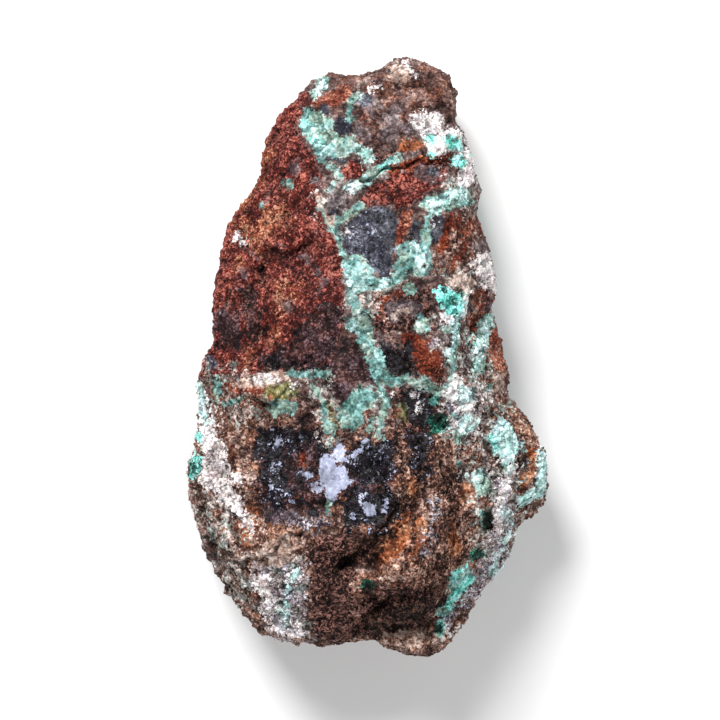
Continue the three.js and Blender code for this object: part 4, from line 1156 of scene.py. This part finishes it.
class Material:
    """A material and short ways to add its nodes."""

    def __init__(self, name):
        self.material = bpy.data.materials.new(name)
        self.material.use_nodes = True
        self.tree = self.material.node_tree
        self.shader = self.tree.nodes["Principled BSDF"]
        self.place = self.add("TexCoord").outputs["Object"]

    def add(self, kind, inputs=None, **settings):
        """A shader node with its settings, and its inputs as values or other nodes' outputs."""
        node = self.tree.nodes.new("ShaderNode" + kind)
        for key, value in settings.items():
            setattr(node, key, value)
        for key, value in (inputs or {}).items():
            if isinstance(value, bpy.types.NodeSocket):
                self.tree.links.new(value, node.inputs[key])
            else:
                node.inputs[key].default_value = value
        return node

    def math(self, operation, a, b):
        """The result of an operation on two numbers."""
        return self.add("Math", {0: a, 1: b}, operation=operation).outputs[0]

    def sum(self, start, *parts):
        """A start plus each part times its weight."""
        for part, weight in parts:
            start = self.add("Math", {0: part, 1: weight, 2: start}, operation="MULTIPLY_ADD").outputs[0]
        return start

    def noise(self, name, where=None):
        """The noise with that name, 0 to 1."""
        size, detail = PATTERNS[name]
        inputs = {"Vector": where or self.place, "Scale": 1 / (size * MM), "Detail": detail}
        inputs["Roughness"] = PATTERN_ROUGHNESS
        return self.add("TexNoise", inputs).outputs[0]

    def cells(self, name, where):
        """The scattered cells with that name."""
        return self.add("TexVoronoi", {"Vector": where, "Scale": 1 / (CELLS[name] * MM)})

    def ramp(self, value, colours):
        """Colours spread evenly over the reach of the tone."""
        low, high = TONE_REACH
        node = self.add("ValToRGB", {0: value})
        stops = node.color_ramp.elements
        while len(stops) < len(colours):
            stops.new(0.5)
        for number, colour in enumerate(colours):
            stops[number].position = low + (high - low) * number / (len(colours) - 1)
            stops[number].color = linear(colour)
        return node.outputs[0]

    def mix(self, share, a, b, blend="MIX"):
        """Colour b over colour a by a share."""
        return self.add("Mix", {0: share, 6: a, 7: b}, data_type="RGBA", blend_type=blend).outputs[2]

    def blend(self, share, a, b):
        """Number b over number a by a share."""
        return self.add("Mix", {0: share, 2: a, 3: b}, data_type="FLOAT").outputs[0]

    def between(self, value, low, high, to=(0.0, 1.0)):
        """A smooth step of a value from low to high."""
        inputs = {"Value": value, "From Min": low, "From Max": high, "To Min": to[0], "To Max": to[1]}
        return self.add("MapRange", inputs, interpolation_type="SMOOTHSTEP").outputs[0]

    def attribute(self, name):
        """The value of that name that is kept on the mesh."""
        return self.add("Attribute", attribute_name=name).outputs["Fac"]


def rock_material():
    """Plain rock with every mineral, and the painted shade and glints, laid over it by its distance, with
    painted shade in the hollows and painted light on the ridges.
    """
    m = Material("rock")
    warping = {"Vector": m.place, "Scale": 1 / (WARP_SIZE * MM), "Detail": WARP_DETAIL}
    warp = m.add("TexNoise", warping).outputs[1]
    shift = m.add("VectorMath", {0: warp, 1: (0.5, 0.5, 0.5)}, operation="SUBTRACT").outputs[0]
    shift = m.add("VectorMath", {0: shift, 3: WARP_REACH * MM}, operation="SCALE").outputs[0]
    bent = m.add("VectorMath", {0: m.place, 1: shift}, operation="ADD").outputs[0]
    grains = m.cells("grain", bent)
    small = m.cells("speck", bent)
    grain = m.add("SeparateColor", {0: grains.outputs["Color"]}).outputs[0]
    specks = m.add("SeparateColor", {0: small.outputs["Color"]})
    speck = specks.outputs[0]
    pick = m.sum(0.0, (specks.outputs[1], 0.5), (m.noise("pick"), 0.5))
    cloud = m.noise("cloud")
    fine = m.noise("fine")
    grit = m.math("SUBTRACT", speck, 0.5)
    parts = dict(grain=grain, speck=speck, cloud=cloud, fine=fine)
    value = m.sum(m.attribute("tone"), *((parts[name], weight) for name, weight in TONE_PARTS.items()))
    patch = m.between(m.noise("patch"), *PATCH_STEP)
    drawn_out = m.add("VectorMath", {0: bent, 1: tuple(STREAK_STRETCH)}, operation="MULTIPLY").outputs[0]
    streak = m.noise("streak", drawn_out)
    streak_start, streak_share, tone_share = STREAK_TONE
    streak_value = m.sum(streak_start, (streak, streak_share), (value, tone_share))
    wide_edge = m.noise("wide_edge")
    fine_edge = m.noise("fine_edge")
    colour = m.mix(patch, m.ramp(value, BASE_COLOURS), m.ramp(value, BASE_OTHER))
    rough = BASE_ROUGHNESS
    for name, finish in FINISHES.items():
        wide, narrow, grainy = finish["edge"]
        waves = ((wide_edge, EDGE_GAIN * wide), (fine_edge, EDGE_GAIN * narrow), (pick, grainy))
        edge = m.sum(m.attribute(name), *waves)
        middle = EDGE_GAIN / 2 * wide + EDGE_GAIN / 2 * narrow + grainy / 2
        half = finish["soft"] / 2
        cover = m.between(edge, middle + half, middle - half, (0.0, finish["cover"]))
        tone = m.sum(streak_value if finish["streaks"] else value, (grit, finish["grit"]))
        own = m.ramp(tone, finish["colours"])
        if finish["other"]:
            own = m.mix(patch, own, m.ramp(tone, finish["other"]))
        colour = m.mix(cover, colour, own)
        rough = m.blend(cover, rough, finish["rough"])
    # Painted shade in the hollows and painted light on the ridges, multiplied into the colour
    hollows = [m.between(m.attribute(name), *shades) for name, shades in HOLLOW_SHADES.items()]
    shade = m.math("MULTIPLY", *hollows)
    grey = m.add("CombineColor", {0: shade, 1: shade, 2: shade}).outputs[0]
    colour = m.mix(1.0, colour, grey, "MULTIPLY")
    heights = (grains.outputs["Distance"], small.outputs["Distance"], fine)
    bump = m.sum(0.0, *zip(heights, BUMP_PARTS))
    bumped = {"Strength": BUMP_STRENGTH, "Distance": BUMP_HEIGHT, "Height": bump}
    normal = m.add("Bump", bumped).outputs[0]
    m.shader.inputs["Specular IOR Level"].default_value = SPECULAR
    m.tree.links.new(colour, m.shader.inputs["Base Color"])
    m.tree.links.new(rough, m.shader.inputs["Roughness"])
    m.tree.links.new(normal, m.shader.inputs["Normal"])
    return m.material


def add_piece(name, mesh, material):
    """A shown piece that stands for the solid and rides with it."""
    piece = bpy.data.objects.new(name, mesh)
    bpy.context.scene.collection.objects.link(piece)
    mesh.materials.clear()
    mesh.materials.append(material)
    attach(piece, BODY)
    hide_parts(NODE)


def add_floor():
    """A plain pale floor."""
    mesh = bpy.data.meshes.new("floor")
    corners = [(x * FLOOR_HALF, y * FLOOR_HALF, 0) for x, y in ((-1, -1), (1, -1), (1, 1), (-1, 1))]
    mesh.from_pydata(corners, [], [(0, 1, 2, 3)])
    floor = bpy.data.objects.new("floor", mesh)
    bpy.context.scene.collection.objects.link(floor)
    paper = Material("floor_paper")
    paper.shader.inputs["Base Color"].default_value = (FLOOR_GREY, FLOOR_GREY, FLOOR_GREY, 1)
    paper.shader.inputs["Roughness"].default_value = FLOOR_ROUGHNESS
    mesh.materials.append(paper.material)


def add_light(name, place, size, power):
    """A square soft light that faces the stone."""
    data = bpy.data.lights.new(name, "AREA")
    data.size = size
    data.energy = power
    light = bpy.data.objects.new(name, data)
    light.location = place
    light.rotation_euler = (Vector(LIGHT_AIM) - Vector(place)).to_track_quat("-Z", "Y").to_euler()
    bpy.context.scene.collection.objects.link(light)


def add_world(strength):
    """An even pale surround."""
    world = bpy.data.worlds.new("studio")
    world.use_nodes = True
    world.node_tree.nodes["Background"].inputs[0].default_value = (1, 1, 1, 1)
    world.node_tree.nodes["Background"].inputs[1].default_value = strength
    bpy.context.scene.world = world


def add_camera():
    """The photograph's camera, over the stone and looking straight down."""
    data = bpy.data.cameras.new("camera")
    data.lens = LENS
    data.sensor_width = SENSOR
    data.clip_start = CLIP_START
    camera = bpy.data.objects.new("camera", data)
    camera.location = CAMERA_PLACE
    bpy.context.scene.collection.objects.link(camera)
    bpy.context.scene.camera = camera


rock = rock_material()
skin = skin_mesh()
skin_values = surface_values(skin)
store(skin, skin_values)
add_piece("rock_skin", skin, rock)
for grain_name, grain_form in GRAINS.items():
    add_piece(grain_name, grain_mesh(grain_name, skin, skin_values, **grain_form), rock)
add_floor()
for light_name, light_values in LIGHTS.items():
    add_light(light_name, **light_values)
add_world(SURROUND)
add_camera()
bpy.context.scene.view_settings.view_transform = "Standard"
